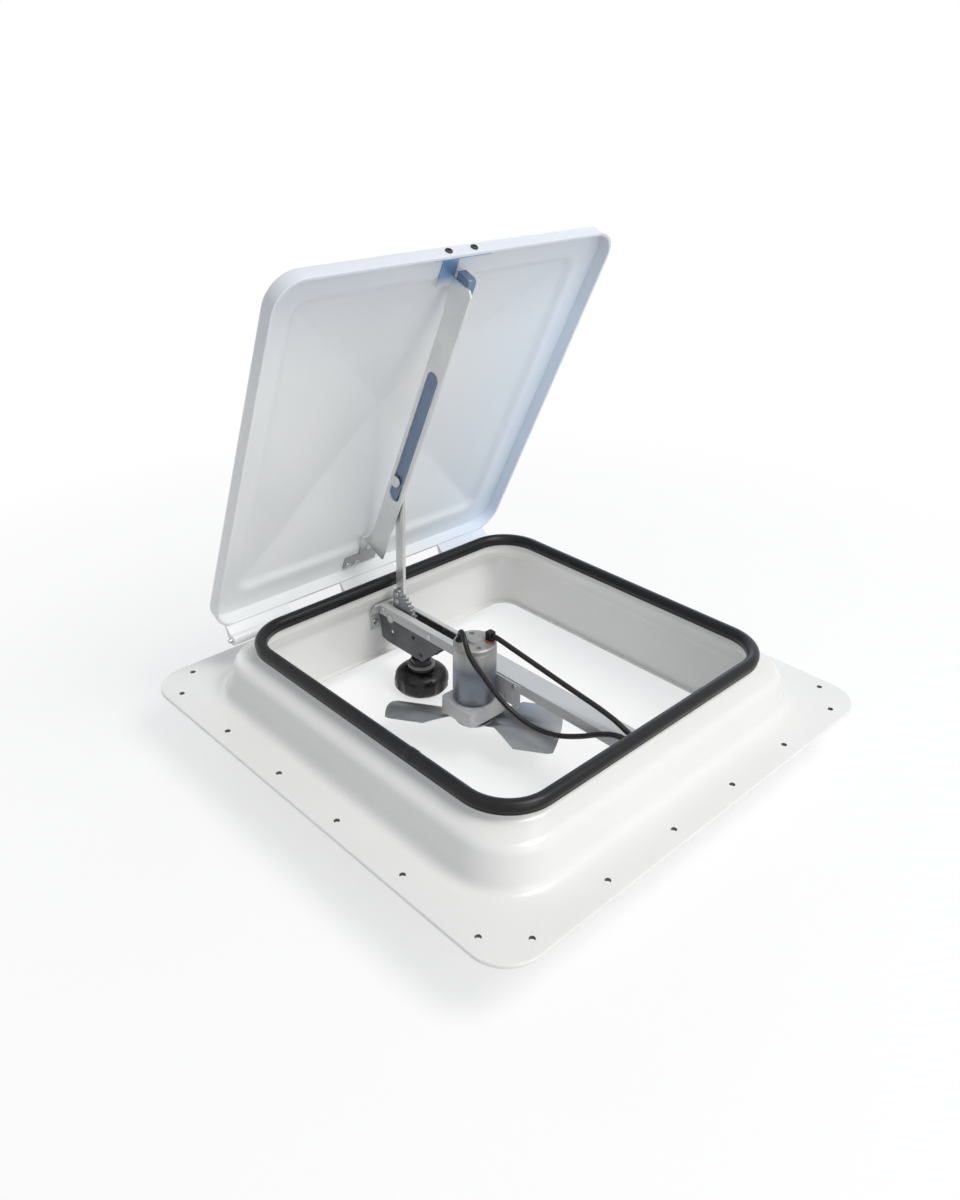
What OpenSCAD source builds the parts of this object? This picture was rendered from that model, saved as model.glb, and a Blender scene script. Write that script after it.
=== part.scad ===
/* [Roof flange] */
// Width of the square flange that lies on the roof
flange_w = 457; // [440:1:480]
// Thickness of the flange
flange_t = 3; // [2:0.1:4]
// Corner radius of the flange
flange_r = 32; // [20:1:45]
// Distance from one flange screw hole to the next
hole_pitch = 76.2; // [72:0.1:78]
// Distance from the flange edge to the line of screw holes
hole_inset = 13.2; // [10:0.1:16]
// Diameter of a flange screw hole
hole_d = 4.8; // [3:0.1:6]

/* [Curb] */
// Width over the neck that carries the seal
neck_w = 330; // [300:1:368]
// Width of the sloping shoulder outside the neck
shoulder_out = 18; // [16:0.5:20]
// Distance that the riser leans out from the shoulder to its foot
riser_lean = 7; // [4:0.5:9]
// Height of the shoulder above the roof
shoulder_h = 34; // [31:0.5:36]
// Height at which the shoulder runs into the neck
neck_h = 42; // [40:0.5:44]
// Height of the lip on top of the neck
lip_h = 50; // [48:0.5:52]
// Thickness of the moulded walls of the base
wall = 2.6; // [2:0.1:3.2]
// Corner radius at the foot of the curb
curb_r = 47; // [40:1:54]
// Corner radius of the neck
neck_r = 41; // [36:1:46]
// Distance that the throat flares out below the neck
flare_out = 9; // [7:0.5:11]
// Depth of the throat below the roof
throat_depth = 36; // [28:1:50]
// Inside corner radius of the throat
throat_r = 22; // [16:1:28]
// Width of the turned-in edge at the bottom of the throat
throat_edge = 4; // [2:0.5:6]

/* [Rim seal] */
// Width of the rubber bulb on the lip
seal_w = 11; // [9:0.5:12]
// Height of the bulb's centre above the lip
seal_rise = 1.6; // [1:0.1:2.5]
// Length of the legs that grip the lip
seal_grip = 3.6; // [2:0.1:5]

/* [Lid] */
// Distance that the lid reaches past the neck on both sides
lid_over = 9; // [7.5:0.5:11]
// Distance that the lid reaches past the neck in front
lid_fore = 11; // [9:0.5:13]
// Corner radius of the lid
lid_r = 25; // [18:1:32]
// Thickness of the moulded lid
lid_wall = 2.5; // [2:0.1:3]
// Height of the skirt around the lid
skirt_h = 14.6; // [12:0.1:17]
// Width of the flat land inside the skirt
land_w = 24; // [18:1:30]
// Rise of the rounded step between the land and the pyramid
step_h = 5; // [3:0.5:7]
// Rise of the pyramid above the step
crown_h = 31; // [20:1:38]
// Angle that the lid stands open
lid_open = 65.5; // [60:0.5:68]

/* [Hinge] */
// Distance of the hinge axis behind the neck
hinge_back = 25; // [24:0.5:27]
// Height of the hinge axis above the roof
hinge_z = 36; // [34:0.5:38]
// Distance from the hinge axis to the lid's back edge
hinge_gap = 6; // [5.6:0.1:7]
// Diameter of the hinge pin
hinge_pin_d = 4; // [3:0.1:5]
// Outside diameter of a lid barrel
barrel_d = 10.4; // [9:0.1:11]
// Length of one lid barrel
barrel_len = 66; // [50:1:74]
// Distance from one lid barrel to the next
barrel_pitch = 128; // [115:1:135]
// Width of one hinge tab
tab_w = 8; // [6:0.5:12]

/* [Lid rail and lift arm] */
// Width of the slotted rail under the lid
rail_w = 22; // [20:0.5:24]
// Thickness of the rail
rail_t = 2; // [1.5:0.1:2.2]
// Width of the slot in the rail
slot_w = 14; // [13.6:0.1:15]
// Distance from the hinge axis to the slot's back end
slot_start = 111; // [104:1:116]
// Distance from the hinge axis to the slot's front end
slot_end = 256; // [215:1:262]
// Distance from the arm's pivot to its slide pin
arm_len = 143; // [141:1:147]
// Width of the lift arm
arm_w = 11; // [10:0.5:12]
// Thickness of the lift arm
arm_t = 3; // [2:0.1:3.4]
// Distance of the arm's pivot in front of the hinge axis
pivot_fore = 41; // [39:0.5:43]
// Diameter of the arm's pivot pin
pivot_d = 6; // [5:0.1:7]
// Diameter of the slide pin
slide_pin_d = 4.4; // [3.5:0.1:4.6]
// Diameter of the bush on the slide pin
slide_bush_d = 6; // [5.6:0.1:6.2]

/* [Lift gear] */
// Module of the sector gear and the worm
gear_m = 1.5; // [1.4:0.05:1.6]
// Teeth that a full gear of this size would have
gear_teeth = 36; // [34:1:37]
// Thickness of the sector gear
gear_t = 4; // [3:0.1:4.4]
// Pitch radius of the worm
worm_pr = 6.6; // [6:0.1:6.6]
// Length of the worm
worm_len = 14.4; // [12:0.2:15]
// Diameter of the knob's shaft
shaft_d = 6; // [5:0.1:6.4]

/* [Cross channel] */
// Width of the channel across the throat
channel_w = 22; // [21:0.5:25]
// Depth of the channel
channel_h = 10; // [9:0.5:12]
// Height of the channel's top above the roof
channel_top = 28; // [27:0.5:29]
// Thickness of the channel sheet
channel_t = 1.5; // [1:0.1:1.8]
// Thickness of the gear bracket sheet
bracket_t = 1.2; // [0.8:0.1:1.2]

/* [Knob] */
// Diameter of the hand knob
knob_d = 54; // [46:1:60]
// Height of the knob's rim
knob_h = 22; // [18:1:26]
// Length of the neck between the gear bracket and the knob's rim
knob_neck = 12; // [10:1:20]
// Number of finger flutes round the knob
knob_flutes = 8; // [5:1:12]

/* [Motor and fan] */
// Distance of the motor's axis from the middle of the channel
motor_x = 32.5; // [32:0.5:36]
// Distance of the motor's axis behind the middle of the channel
motor_y = 6; // [0:0.5:10]
// Diameter of the motor can
motor_d = 38; // [34:0.5:39]
// Length of the motor can
motor_len = 52; // [46:1:54]
// Height of the motor plate above the roof
motor_plate_z = 8.5; // [7:0.5:11]
// Diameter of the motor shaft
motor_shaft_d = 5; // [4:0.1:6]
// Diameter of the fan
fan_d = 158; // [140:1:160]
// Width of a fan blade
blade_w = 52; // [40:1:58]
// Pitch angle of the fan blades
blade_pitch = 18; // [10:1:22]
// Distance from the motor plate down to the fan
fan_drop = 22; // [21.5:0.5:26]
// Diameter of a motor lead
lead_d = 4.6; // [4:0.1:5]

/* [Hidden] */
$fn = 64;
// Radial clearance of a running fit
fit = 0.06;
// Clearance between pieces that pass each other
gap = 0.3;
// Steps of one ring corner and of one profile curve
corner_steps = 8;
curve_steps = 4;

// Widths that follow from the neck
shoulder_w = neck_w + 2 * shoulder_out;
curb_w = shoulder_w + 2 * riser_lean;
throat_w = neck_w + 2 * flare_out;
lid_w = neck_w + 2 * lid_over;

// Places that follow from the sizes above
hinge_y = neck_w / 2 + hinge_back;
seal_top = lip_h + seal_rise + seal_w / 2;
tongue_t = 1.5;
land_z = seal_top + tongue_t + 2 * gap;
skirt_z = land_z + lid_wall - skirt_h;
lid_back = hinge_y - hinge_gap;
lid_front = -neck_w / 2 - lid_fore;
lid_len = lid_back - lid_front;
lid_mid = (lid_back + lid_front) / 2;
lid_stretch = lid_len / lid_w;
lid_inside = lid_front + lid_wall * lid_stretch;
crown_z = land_z + step_h + crown_h;
step_w = 6;

// Lift linkage: the arm's angle that keeps the slide pin on the slot's middle line
pivot_y = hinge_y - pivot_fore;
pivot_z = channel_top - 10;
pivot_drop = hinge_z - pivot_z;
slot_below = -8.5;
function arm_at(a) =
    a + asin((pivot_fore * sin(a) + pivot_drop * cos(a) - slot_below) / arm_len);
arm_swing = arm_at(lid_open) - arm_at(0);
arm_lead = (arm_at(lid_open / 2) - (arm_at(0) + arm_at(lid_open)) / 2) / 2;
arm_rest = arm_at(lid_open) + arm_lead;
arm_shut = arm_rest - arm_swing;
arm_eye = pivot_d + 2.6;

// Gear train
gear_pr = gear_m * gear_teeth / 2;
tooth_pitch = PI * gear_m;
tooth_deg = 360 / gear_teeth;
addendum = 0.85 * gear_m;
dedendum = 1.12 * gear_m;
flank = tan(20);
worm_tooth = 0.42 * tooth_pitch;
backlash = 0.5;
gear_tooth = tooth_pitch - worm_tooth - 2 * backlash;
worm_y = pivot_y - gear_pr - worm_pr;
worm_r = worm_pr + addendum;
// Top of the worm, just below the arm when the lid is shut
worm_top = pivot_z + (gear_pr - addendum) * tan(arm_shut) - arm_w / 2 / cos(arm_shut) - 0.5;
worm_z = worm_top - worm_len;
worm_root = worm_pr - dedendum;

// Sheet-metal stack across the channel, from the middle outwards
channel_in = channel_w / 2 - channel_t;
web_in = channel_in - bracket_t;
arm_x = gear_t / 2;
rail_x = arm_x - 1.2 - rail_t;
slide_head_t = 1.5;
slide_head_x = rail_x - 0.5 - slide_head_t;
channel_end = throat_w / 2;
slot_near = 1.5 + gear_t / 2;
slot_far = arm_x + arm_t + 1.5;

// Knob train, from the gear bracket downwards
floor_z = pivot_z - 26.5;
floor_t = 1.5;
bush_d = 11;
bush_top = floor_z + 3;
bush_bottom = floor_z - floor_t - 3.5;
knob_top = bush_bottom - 0.4;
knob_rim = knob_top - knob_neck;
knob_bottom = knob_rim - knob_h;

// Motor and fan
motor_top = motor_plate_z + motor_len;
motor_cap_h = 5;
motor_wall = 1.4;
fan_z = motor_plate_z - fan_drop;
fan_turn = -56;
sheet = 1.6;
tray_x = motor_x + motor_d / 2 + 4;
tray_y = motor_d / 2 + 1.5;
tray_h = 14;
tray_r = 6;

// Screws and rivets
screw_d = 3.8;
head_d = 7.5;
head_h = 2.2;
rivet_d = 3.2;

// Leads: points chosen along each route from the motor cap to the gland
gland_in = 22;
lead_gland_y = gland_in - channel_end;
lead_gland_l = 9.5;
near_boot = [-42, 15];
near_boot_h = 3;
far_boot = [-23, -3];
far_boot_w = 6.6;
far_boot_h = 9;
near_route = [
    [near_boot[0], near_boot[1], motor_top + motor_cap_h + near_boot_h],
    [-42.5, 14, 73], [-44.5, 10.5, 77], [-47, 6, 78.2], [-49.3, 1.5, 76], [-51, -3, 71],
    [-51.3, -7.5, 64], [-49.3, -12, 56], [-45.5, -17.5, 46.5], [-41.5, -24, 36],
    [-38, -32, 26.5], [-34.5, -43, 18], [-30.5, -57, 11.2], [-26.5, -71, 8.6], [-22, -86, 10],
    [-17.5, -104, 17], [-14.8, lead_gland_y + 29, 28], [-11.6, lead_gland_y + 16, 32],
    [-9.3, lead_gland_y, 32]
];
far_route = [
    [far_boot[0], far_boot[1] - far_boot_w / 2, 71.5], [-22.6, -11, 71.3], [-21.3, -19, 69.2],
    [-19.7, -28, 66.5], [-17, -42, 62.2], [-14.2, -58, 57.6], [-11.6, -75, 53],
    [-9.2, -93, 48.6], [-7, -111, 44.5], [-5.2, lead_gland_y + 24, 39.6],
    [-4.4, lead_gland_y + 11, 34.5], [-4.2, lead_gland_y, 32]
];

// Profile helpers: a corner is [half width, height, curve length, ring corner radius]
function toward(a, b, s) = a + (b - a) * s / norm(b - a);
function flat(c) = [c[0], c[1]];
function curve(a, c, b, s) =
    let (p = toward(flat(c), flat(a), s), q = toward(flat(c), flat(b), s))
    [for (i = [0:curve_steps])
        let (t = i / curve_steps)
        (1 - t) * (1 - t) * p + 2 * t * (1 - t) * flat(c) + t * t * q];
function profile(corners) =
    let (n = len(corners))
    [for (k = [0:n - 1])
        let (c = corners[k], a = corners[(k + n - 1) % n], b = corners[(k + 1) % n])
        for (p = c[2] > 0 ? curve(a, c, b, c[2]) : [flat(c)])
            [p[0], p[1], c[3] + p[0] - c[0]]];

// One closed ring of a rounded square
function ring(half, r, z, stretch) =
    [for (c = [0:3])
        for (i = [0:corner_steps])
            let (a = 90 * (c + i / corner_steps))
            let (sx = c == 0 || c == 3 ? 1 : -1, sy = c < 2 ? 1 : -1)
            [sx * (half - r) + r * cos(a), stretch * (sy * (half - r) + r * sin(a)), z]];
function band(n, m, loop) =
    [for (j = [0:loop ? m - 1 : m - 2])
        for (i = [0:n - 1])
            let (k = (j + 1) % m, e = (i + 1) % n)
            each [[j * n + i, k * n + i, k * n + e], [j * n + i, k * n + e, j * n + e]]];

// Skin through a stack of rounded-square rings, closed in a loop or capped at both ends
module ring_loft(stations, loop, stretch = 1) {
    n = 4 * (corner_steps + 1);
    m = len(stations);
    points = [for (s = stations) each ring(s[0], s[2], s[1], stretch)];
    caps = loop ? [] : [[for (i = [0:n - 1]) i], [for (i = [n - 1:-1:0]) (m - 1) * n + i]];
    polyhedron(points, concat(band(n, m, loop), caps), convexity = 10);
}

// Sheet drawn as Y along and Z up, standing across X
module plate_yz(x, t) {
    translate([x, 0, 0])
        rotate([90, 0, 90])
            linear_extrude(t)
                children();
}

// Rod along X from x by length l
module rod_x(x, l, d) {
    translate([x, 0, 0])
        rotate([0, 90, 0])
            cylinder(h = l, d = d);
}

// Turns pieces drawn on the closed lid to the angle at which it stands open
module on_lid() {
    translate([0, hinge_y, hinge_z])
        rotate([-lid_open, 0, 0])
            translate([0, -hinge_y, -hinge_z])
                children();
}

// Rounded rectangle from corner a to corner b
module rounded_rect(a, b, r) {
    translate([a[0] + r, a[1]])
        square([b[0] - a[0] - 2 * r, b[1] - a[1]]);
    translate([a[0], a[1] + r])
        square([b[0] - a[0], b[1] - a[1] - 2 * r]);
    for (x = [a[0] + r, b[0] - r])
        for (y = [a[1] + r, b[1] - r])
            translate([x, y])
                circle(r);
}

// Slot with round ends from u0 to u1 along X
module slot(u0, u1, w) {
    translate([u0 + w / 2, -w / 2])
        square([u1 - u0 - w, w]);
    for (u = [u0 + w / 2, u1 - w / 2])
        translate([u, 0])
            circle(d = w);
}

// Pan head on a shank that points down from the origin
module pan_screw(shank) {
    translate([0, 0, -shank])
        cylinder(h = shank, d = screw_d);
    rotate_extrude()
        intersection() {
            translate([0, head_h - 8])
                circle(8);
            square([head_d / 2, head_h]);
        }
}

// Places of the flange holes on the four sides
module each_flange_hole() {
    for (side = [0:3])
        for (i = [-2.5:1:2.5])
            rotate(90 * side)
                translate([flange_w / 2 - hole_inset, i * hole_pitch])
                    children();
}

// Shoulder slope on which the hinge tabs stand
slope_deg = atan2(neck_h - shoulder_h, (shoulder_w - neck_w) / 2);
tab_shift = barrel_pitch / 2 - barrel_len / 2 - tab_w / 2 - 0.5;
tab_places = [for (s = [-1, 1]) for (d = [-1, 1]) s * barrel_pitch / 2 + d * tab_shift];
tab_foot_y = (shoulder_w + neck_w) / 4;
tab_foot_z = (shoulder_h + neck_h) / 2;
tab_foot = 11;
tab_leaf = 1.8;
tab_screw_v = -tab_foot / 4;

// Frame on the hinge-side slope, with Z out of the slope
module on_slope() {
    translate([0, tab_foot_y, tab_foot_z])
        rotate([-slope_deg, 0, 0])
            children();
}

// Places of the screws that hold the channel to the throat
channel_screw_x = 12;
channel_screw_z = 5;
module each_channel_screw() {
    for (side = [0, 180])
        for (x = [-channel_screw_x, channel_screw_x])
            rotate(side)
                translate([x, channel_end, channel_screw_z])
                    rotate([90, 0, 0])
                        children();
}

base_corners = let (
    flare_z = neck_h - 4,
    throat_top = flare_z - 20,
    lip = neck_w / 2 - wall,
    bore = throat_w / 2,
    hollow = bore + wall,
    ceiling = shoulder_h - 6
) [
    [flange_w / 2, 0, 0, flange_r],
    [flange_w / 2, flange_t, 0.8, flange_r],
    [curb_w / 2, flange_t, 8, curb_r],
    [shoulder_w / 2, shoulder_h, 6, curb_r - 3],
    [neck_w / 2, neck_h, 4, neck_r],
    [neck_w / 2, lip_h, 0, neck_r],
    [lip, lip_h, 0, neck_r - wall],
    [lip, flare_z, 3, neck_r - wall],
    [bore, throat_top, 3, throat_r],
    [bore, -throat_depth + 2, 1.5, throat_r],
    [bore - throat_edge, -throat_depth + 2, 0, throat_r - throat_edge],
    [bore - throat_edge, -throat_depth, 0, throat_r - throat_edge],
    [hollow, -throat_depth, 1.5, throat_r + wall],
    [hollow, ceiling, 0, throat_r + wall],
    [shoulder_w / 2 - wall, ceiling, 0, curb_r - 3 - wall],
    [curb_w / 2 - wall, 0, 0, curb_r - wall]
];

module base_frame() {
    color("whitesmoke")
        difference() {
            ring_loft(profile(base_corners), true);
            each_flange_hole()
                translate([0, 0, -1])
                    cylinder(h = flange_t + 2, d = hole_d);
            each_channel_screw()
                translate([0, 0, -wall - 2])
                    cylinder(h = wall + 4, d = screw_d + 0.2);
            for (x = tab_places)
                on_slope()
                    translate([x, tab_screw_v, -6])
                        cylinder(h = 12, d = rivet_d + 0.2);
        }
}

seal_corners = let (
    lip = neck_w / 2,
    mid = lip - wall / 2,
    r = seal_w / 2,
    bulb_z = lip_h + seal_rise,
    leg_z = lip_h - seal_grip,
    corner = neck_r - wall / 2
) concat(
    [[mid + r - 0.6, leg_z, corner]],
    [for (i = [0:12]) let (a = 15 * i) [mid + r * cos(a), bulb_z + r * sin(a), corner]],
    [[mid - r + 0.6, leg_z, corner], [lip - wall - 0.1, leg_z, corner],
     [lip - wall - 0.1, lip_h, corner], [lip + 0.1, lip_h, corner], [lip + 0.1, leg_z, corner]]
);

module rim_seal() {
    mid = neck_w / 2 - wall / 2;
    color("#1b1c1e")
        ring_loft([for (s = seal_corners) [s[0], s[1], s[2] + s[0] - mid]], true);
}

// Steel tab: an eye round the hinge pin, a leaf and a foot on the shoulder
module hinge_tabs() {
    eye = 4.4;
    color("lightsteelblue")
        for (x = tab_places)
            difference() {
                union() {
                    translate([0, hinge_y, hinge_z])
                        rod_x(x - tab_w / 2, tab_w, 2 * eye);
                    on_slope()
                        translate([x - tab_w / 2, -tab_foot / 2, 0])
                            cube([tab_w, tab_foot, tab_leaf]);
                    plate_yz(x - tab_w / 2, tab_w)
                        polygon([
                            [tab_foot_y + 1, tab_foot_z - 0.2], [tab_foot_y + 2, tab_foot_z + tab_leaf],
                            [hinge_y - 2, hinge_z + eye - 0.6], [hinge_y, hinge_z],
                            [hinge_y - 2, hinge_z - 1.5]
                        ]);
                }
                translate([0, hinge_y, hinge_z])
                    rod_x(x - tab_w, 2 * tab_w, hinge_pin_d + 0.06);
                on_slope()
                    translate([x, tab_screw_v, -1])
                        cylinder(h = 20, d = rivet_d + 0.2);
            }
}

module hinge_tab_screws() {
    color("silver")
        for (x = tab_places)
            on_slope()
                translate([x, tab_screw_v, tab_leaf]) {
                    cylinder(h = 1.4, d = 6);
                    translate([0, 0, -6])
                        cylinder(h = 6, d = rivet_d);
                }
}

module hinge_pin() {
    reach = barrel_pitch + barrel_len / 2 + 3;
    color("silver")
        translate([0, hinge_y, hinge_z])
            rod_x(-reach, 2 * reach, hinge_pin_d);
}

lid_corners = let (
    half = lid_w / 2,
    inner = half - lid_wall,
    step = inner - land_w
) [
    [4, crown_z, 0, 1],
    [step - step_w, land_z + step_h, 4, 10],
    [step, land_z, 4, 16],
    [inner, land_z, 0, lid_r - lid_wall],
    [inner, skirt_z, 0, lid_r - lid_wall],
    [half, skirt_z, 0, lid_r],
    [half, land_z + lid_wall, 5, lid_r],
    [step, land_z + lid_wall, 4, 16],
    [step - step_w, land_z + lid_wall + step_h, 4, 10],
    [4, crown_z + lid_wall, 0, 1]
];

// Fixings of the rail: two screws through the front skirt and two rivets behind the seal
cross_x = -6;
front_screw_x = [cross_x - 13, cross_x + 13];
front_screw_z = (skirt_z + land_z) / 2;
foot_rivet_x = [-19, -8];
foot_rivet_s = 16;

// Lug that carries a hinge barrel below the lid's back skirt
barrel_lug = [
    [lid_back - 2, skirt_z + 3], [lid_back - 0.1, skirt_z + 3], [hinge_y + 4, hinge_z + 3],
    [hinge_y, hinge_z], [hinge_y - 4.4, hinge_z + 2.5]
];

module lid() {
    color("white")
        on_lid()
            difference() {
                union() {
                    translate([0, lid_mid, 0])
                        ring_loft(profile(lid_corners), false, lid_stretch);
                    for (i = [-1:1]) {
                        translate([i * barrel_pitch - barrel_len / 2, hinge_y, hinge_z])
                            rod_x(0, barrel_len, barrel_d);
                        plate_yz(i * barrel_pitch - barrel_len / 2, barrel_len)
                            polygon(barrel_lug);
                    }
                }
                translate([0, hinge_y, hinge_z])
                    rod_x(-lid_w, 2 * lid_w, hinge_pin_d + 2 * fit);
                for (x = front_screw_x)
                    translate([x, lid_front + 2 * lid_wall, front_screw_z])
                        rotate([90, 0, 0])
                            cylinder(h = 4 * lid_wall, d = rivet_d + 0.2);
                for (x = foot_rivet_x)
                    translate([x, hinge_y - foot_rivet_s, land_z - 1])
                        cylinder(h = lid_wall + 2, d = rivet_d + 0.2);
            }
}

// Slotted strip on edge, with a foot on the land behind the seal and a cross flange in front
rail_start = 40;
rail_front = hinge_y - lid_inside - 24;
rail_cross = 58;
rail_tongue = 16;
rail_foot = [12, 27];
rail_foot_x = -24;
rail_foot_past = 15;
rail_neck_x = -8;
module lid_rail() {
    top = slot_below - rail_w / 2;
    low = slot_below + rail_w / 2;
    land = hinge_z - land_z;
    edge = rail_x + rail_t;
    strip = [
        [rail_start, land], [rail_start + 10, land], [rail_start + 22, top], [rail_front - 30, top],
        [rail_front - 12, land], [rail_front, land], [rail_front, low - 4], [rail_front - 4, low],
        [rail_start, low]
    ];
    color("gainsboro")
        on_lid()
            difference() {
                union() {
                    translate([0, hinge_y, hinge_z])
                        mirror([0, 1, 0])
                            mirror([0, 0, 1])
                                plate_yz(rail_x, rail_t)
                                    difference() {
                                        polygon(strip);
                                        translate([0, slot_below])
                                            slot(slot_start, slot_end, slot_w);
                                    }
                    translate([edge - rail_tongue, lid_inside, land_z - tongue_t])
                        cube([rail_tongue, 32, tongue_t]);
                    translate([cross_x - rail_cross / 2, lid_inside, skirt_z + 1])
                        cube([rail_cross, tongue_t, land_z - skirt_z - 1]);
                    translate([rail_foot_x, hinge_y - rail_foot[1], land_z - tongue_t])
                        cube([edge + rail_foot_past - rail_foot_x, rail_foot[1] - rail_foot[0], tongue_t]);
                    translate([rail_neck_x, hinge_y - rail_start - 10, land_z - tongue_t])
                        cube([edge - rail_neck_x, rail_start + 11 - rail_foot[1], tongue_t]);
                }
                for (x = front_screw_x)
                    translate([x, lid_front + 2 * lid_wall, front_screw_z])
                        rotate([90, 0, 0])
                            cylinder(h = 4 * lid_wall, d = rivet_d + 0.2);
                for (x = foot_rivet_x)
                    translate([x, hinge_y - foot_rivet_s, land_z - tongue_t - 1])
                        cylinder(h = tongue_t + 2, d = rivet_d + 0.2);
            }
}

module rail_front_screws() {
    color("dimgray")
        on_lid()
            for (x = front_screw_x)
                translate([x, lid_front, front_screw_z])
                    rotate([90, 0, 0]) {
                        cylinder(h = 1.4, d = 6);
                        translate([0, 0, -lid_wall - tongue_t - 1.5])
                            cylinder(h = lid_wall + tongue_t + 1.5, d = rivet_d);
                    }
}

module rail_foot_rivets() {
    color("silver")
        on_lid()
            for (x = foot_rivet_x)
                translate([x, hinge_y - foot_rivet_s, land_z - tongue_t - 1.4]) {
                    cylinder(h = 1.4, d = 6);
                    translate([0, 0, 1.4])
                        cylinder(h = tongue_t + lid_wall, d = rivet_d);
                }
}

arm_rivet_u = [16, 24];

module arm_frame() {
    translate([pivot_y, pivot_z])
        rotate(180 - arm_rest)
            children();
}

module lift_arm() {
    color("silver")
        plate_yz(arm_x, arm_t)
            arm_frame()
                difference() {
                    union() {
                        slot(-arm_w / 2, arm_len + arm_w / 2, arm_w);
                        circle(arm_eye);
                    }
                    circle(d = 2 * pivot_d + 0.2);
                    translate([arm_len, 0])
                        circle(d = slide_pin_d + 0.1);
                    for (u = arm_rivet_u)
                        translate([u, 0])
                            circle(d = rivet_d + 0.1);
                }
}

// Tooth corners of the sector, counted from the tooth that faces the worm
gear_first = -floor((arm_swing + 8) / tooth_deg);
gear_last = 2;
function polar(r, a) = [r * cos(a), r * sin(a)];
function tooth_half(r) = (gear_tooth / 2 - (r - gear_pr) * flank) / r * 180 / PI;
gear_outline = concat(
    [[0, 0]],
    [for (i = [gear_first:gear_last])
        let (a = 180 + i * tooth_deg, tip = gear_pr + addendum, root = gear_pr - dedendum)
        each [
            polar(root, a - tooth_half(root)), polar(tip, a - tooth_half(tip)),
            polar(tip, a + tooth_half(tip)), polar(root, a + tooth_half(root))
        ]]
);

module sector_gear() {
    hub_x = web_in - gap;
    color("darkgray")
        difference() {
            union() {
                plate_yz(-gear_t / 2, gear_t)
                    translate([pivot_y, pivot_z]) {
                        polygon(gear_outline);
                        circle(arm_eye);
                        rotate(180 - arm_rest)
                            slot(-arm_w / 2, arm_rivet_u[1] + arm_w / 2, arm_w);
                    }
                translate([0, pivot_y, pivot_z])
                    rod_x(-hub_x, 2 * hub_x, 2 * pivot_d);
            }
            translate([0, pivot_y, pivot_z])
                rod_x(-channel_w, 2 * channel_w, pivot_d + 2 * fit);
            plate_yz(-gear_t, 2 * gear_t)
                arm_frame()
                    for (u = arm_rivet_u)
                        translate([u, 0])
                            circle(d = rivet_d + 0.1);
        }
}

module arm_rivets() {
    color("silver")
        for (u = arm_rivet_u) {
            plate_yz(-gear_t / 2 - 1, gear_t + arm_t + 2)
                arm_frame()
                    translate([u, 0])
                        circle(d = rivet_d);
            for (x = [-gear_t / 2 - 1, arm_x + arm_t])
                plate_yz(x, 1)
                    arm_frame()
                        translate([u, 0])
                            circle(d = rivet_d + 2.4);
        }
}

module slide_pin() {
    color("gainsboro") {
        plate_yz(slide_head_x, slide_head_t)
            arm_frame()
                translate([arm_len, 0])
                    circle(d = 11);
        plate_yz(slide_head_x, arm_x + arm_t - slide_head_x + 1)
            arm_frame()
                translate([arm_len, 0])
                    circle(d = slide_pin_d);
        plate_yz(arm_x + arm_t, 1.2)
            arm_frame()
                translate([arm_len, 0])
                    circle(d = 8);
    }
}

module slide_bush() {
    color("#202124")
        plate_yz(slide_head_x + slide_head_t, arm_x - slide_head_x - slide_head_t)
            arm_frame()
                translate([arm_len, 0])
                    difference() {
                        circle(d = slide_bush_d);
                        circle(d = slide_pin_d + 0.1);
                    }
}

pivot_head_d = pivot_d + 3;
pivot_head_t = 1.4;
module arm_pivot_pin() {
    color("silver")
        translate([0, pivot_y, pivot_z]) {
            rod_x(-channel_in, 2 * channel_in, pivot_d);
            for (x = [-channel_in - pivot_head_t, channel_in])
                rod_x(x, pivot_head_t, pivot_head_d);
        }
}

// Places on the channel's side walls that are riveted to the bracket
bracket_rivet_y = [pivot_y + 11, pivot_y - 58];
bracket_rivet_z = channel_top - channel_h / 2;
module each_bracket_rivet() {
    for (y = bracket_rivet_y)
        translate([0, y, bracket_rivet_z])
            children();
}

// Bent end of the channel: down along the flare, then flat on the throat wall
module channel_end_tab() {
    e = channel_end;
    t = channel_t;
    knee = channel_top - channel_h - 4;
    plate_yz(-channel_w / 2 - 6, channel_w + 12)
        polygon([
            [e - 10, channel_top], [e - 8, channel_top], [e, knee], [e, -3], [e - t, -3],
            [e - t, knee - 0.5], [e - 8.8, channel_top - t], [e - 10, channel_top - t]
        ]);
}

module cross_channel() {
    inner_h = channel_h - channel_t;
    color("lightgray")
        difference() {
            union() {
                difference() {
                    translate([-channel_w / 2, -channel_end + 9, channel_top - channel_h])
                        cube([channel_w, 2 * channel_end - 18, channel_h]);
                    translate([-channel_in, -channel_end, channel_top - channel_h - 1])
                        cube([2 * channel_in, 2 * channel_end, inner_h + 1]);
                }
                for (side = [0, 180])
                    rotate(side)
                        channel_end_tab();
            }
            translate([0, 0, channel_top - channel_t - 1])
                linear_extrude(channel_t + 2)
                    rounded_rect([-slot_near, pivot_y - 90], [slot_far, pivot_y + 12], 2);
            translate([0, pivot_y, pivot_z])
                rod_x(-channel_w, 2 * channel_w, pivot_head_d + 4 * gap);
            each_bracket_rivet()
                rod_x(-channel_w, 2 * channel_w, rivet_d + 0.1);
            each_channel_screw()
                translate([0, 0, -1])
                    cylinder(h = channel_t + 2, d = screw_d + 0.2);
            motor_rivet_places()
                rod_x(-channel_w, channel_w, rivet_d + 0.1);
        }
}

module channel_screws() {
    color("silver")
        each_channel_screw()
            translate([0, 0, channel_t])
                pan_screw(channel_t + wall + 2);
}

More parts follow.
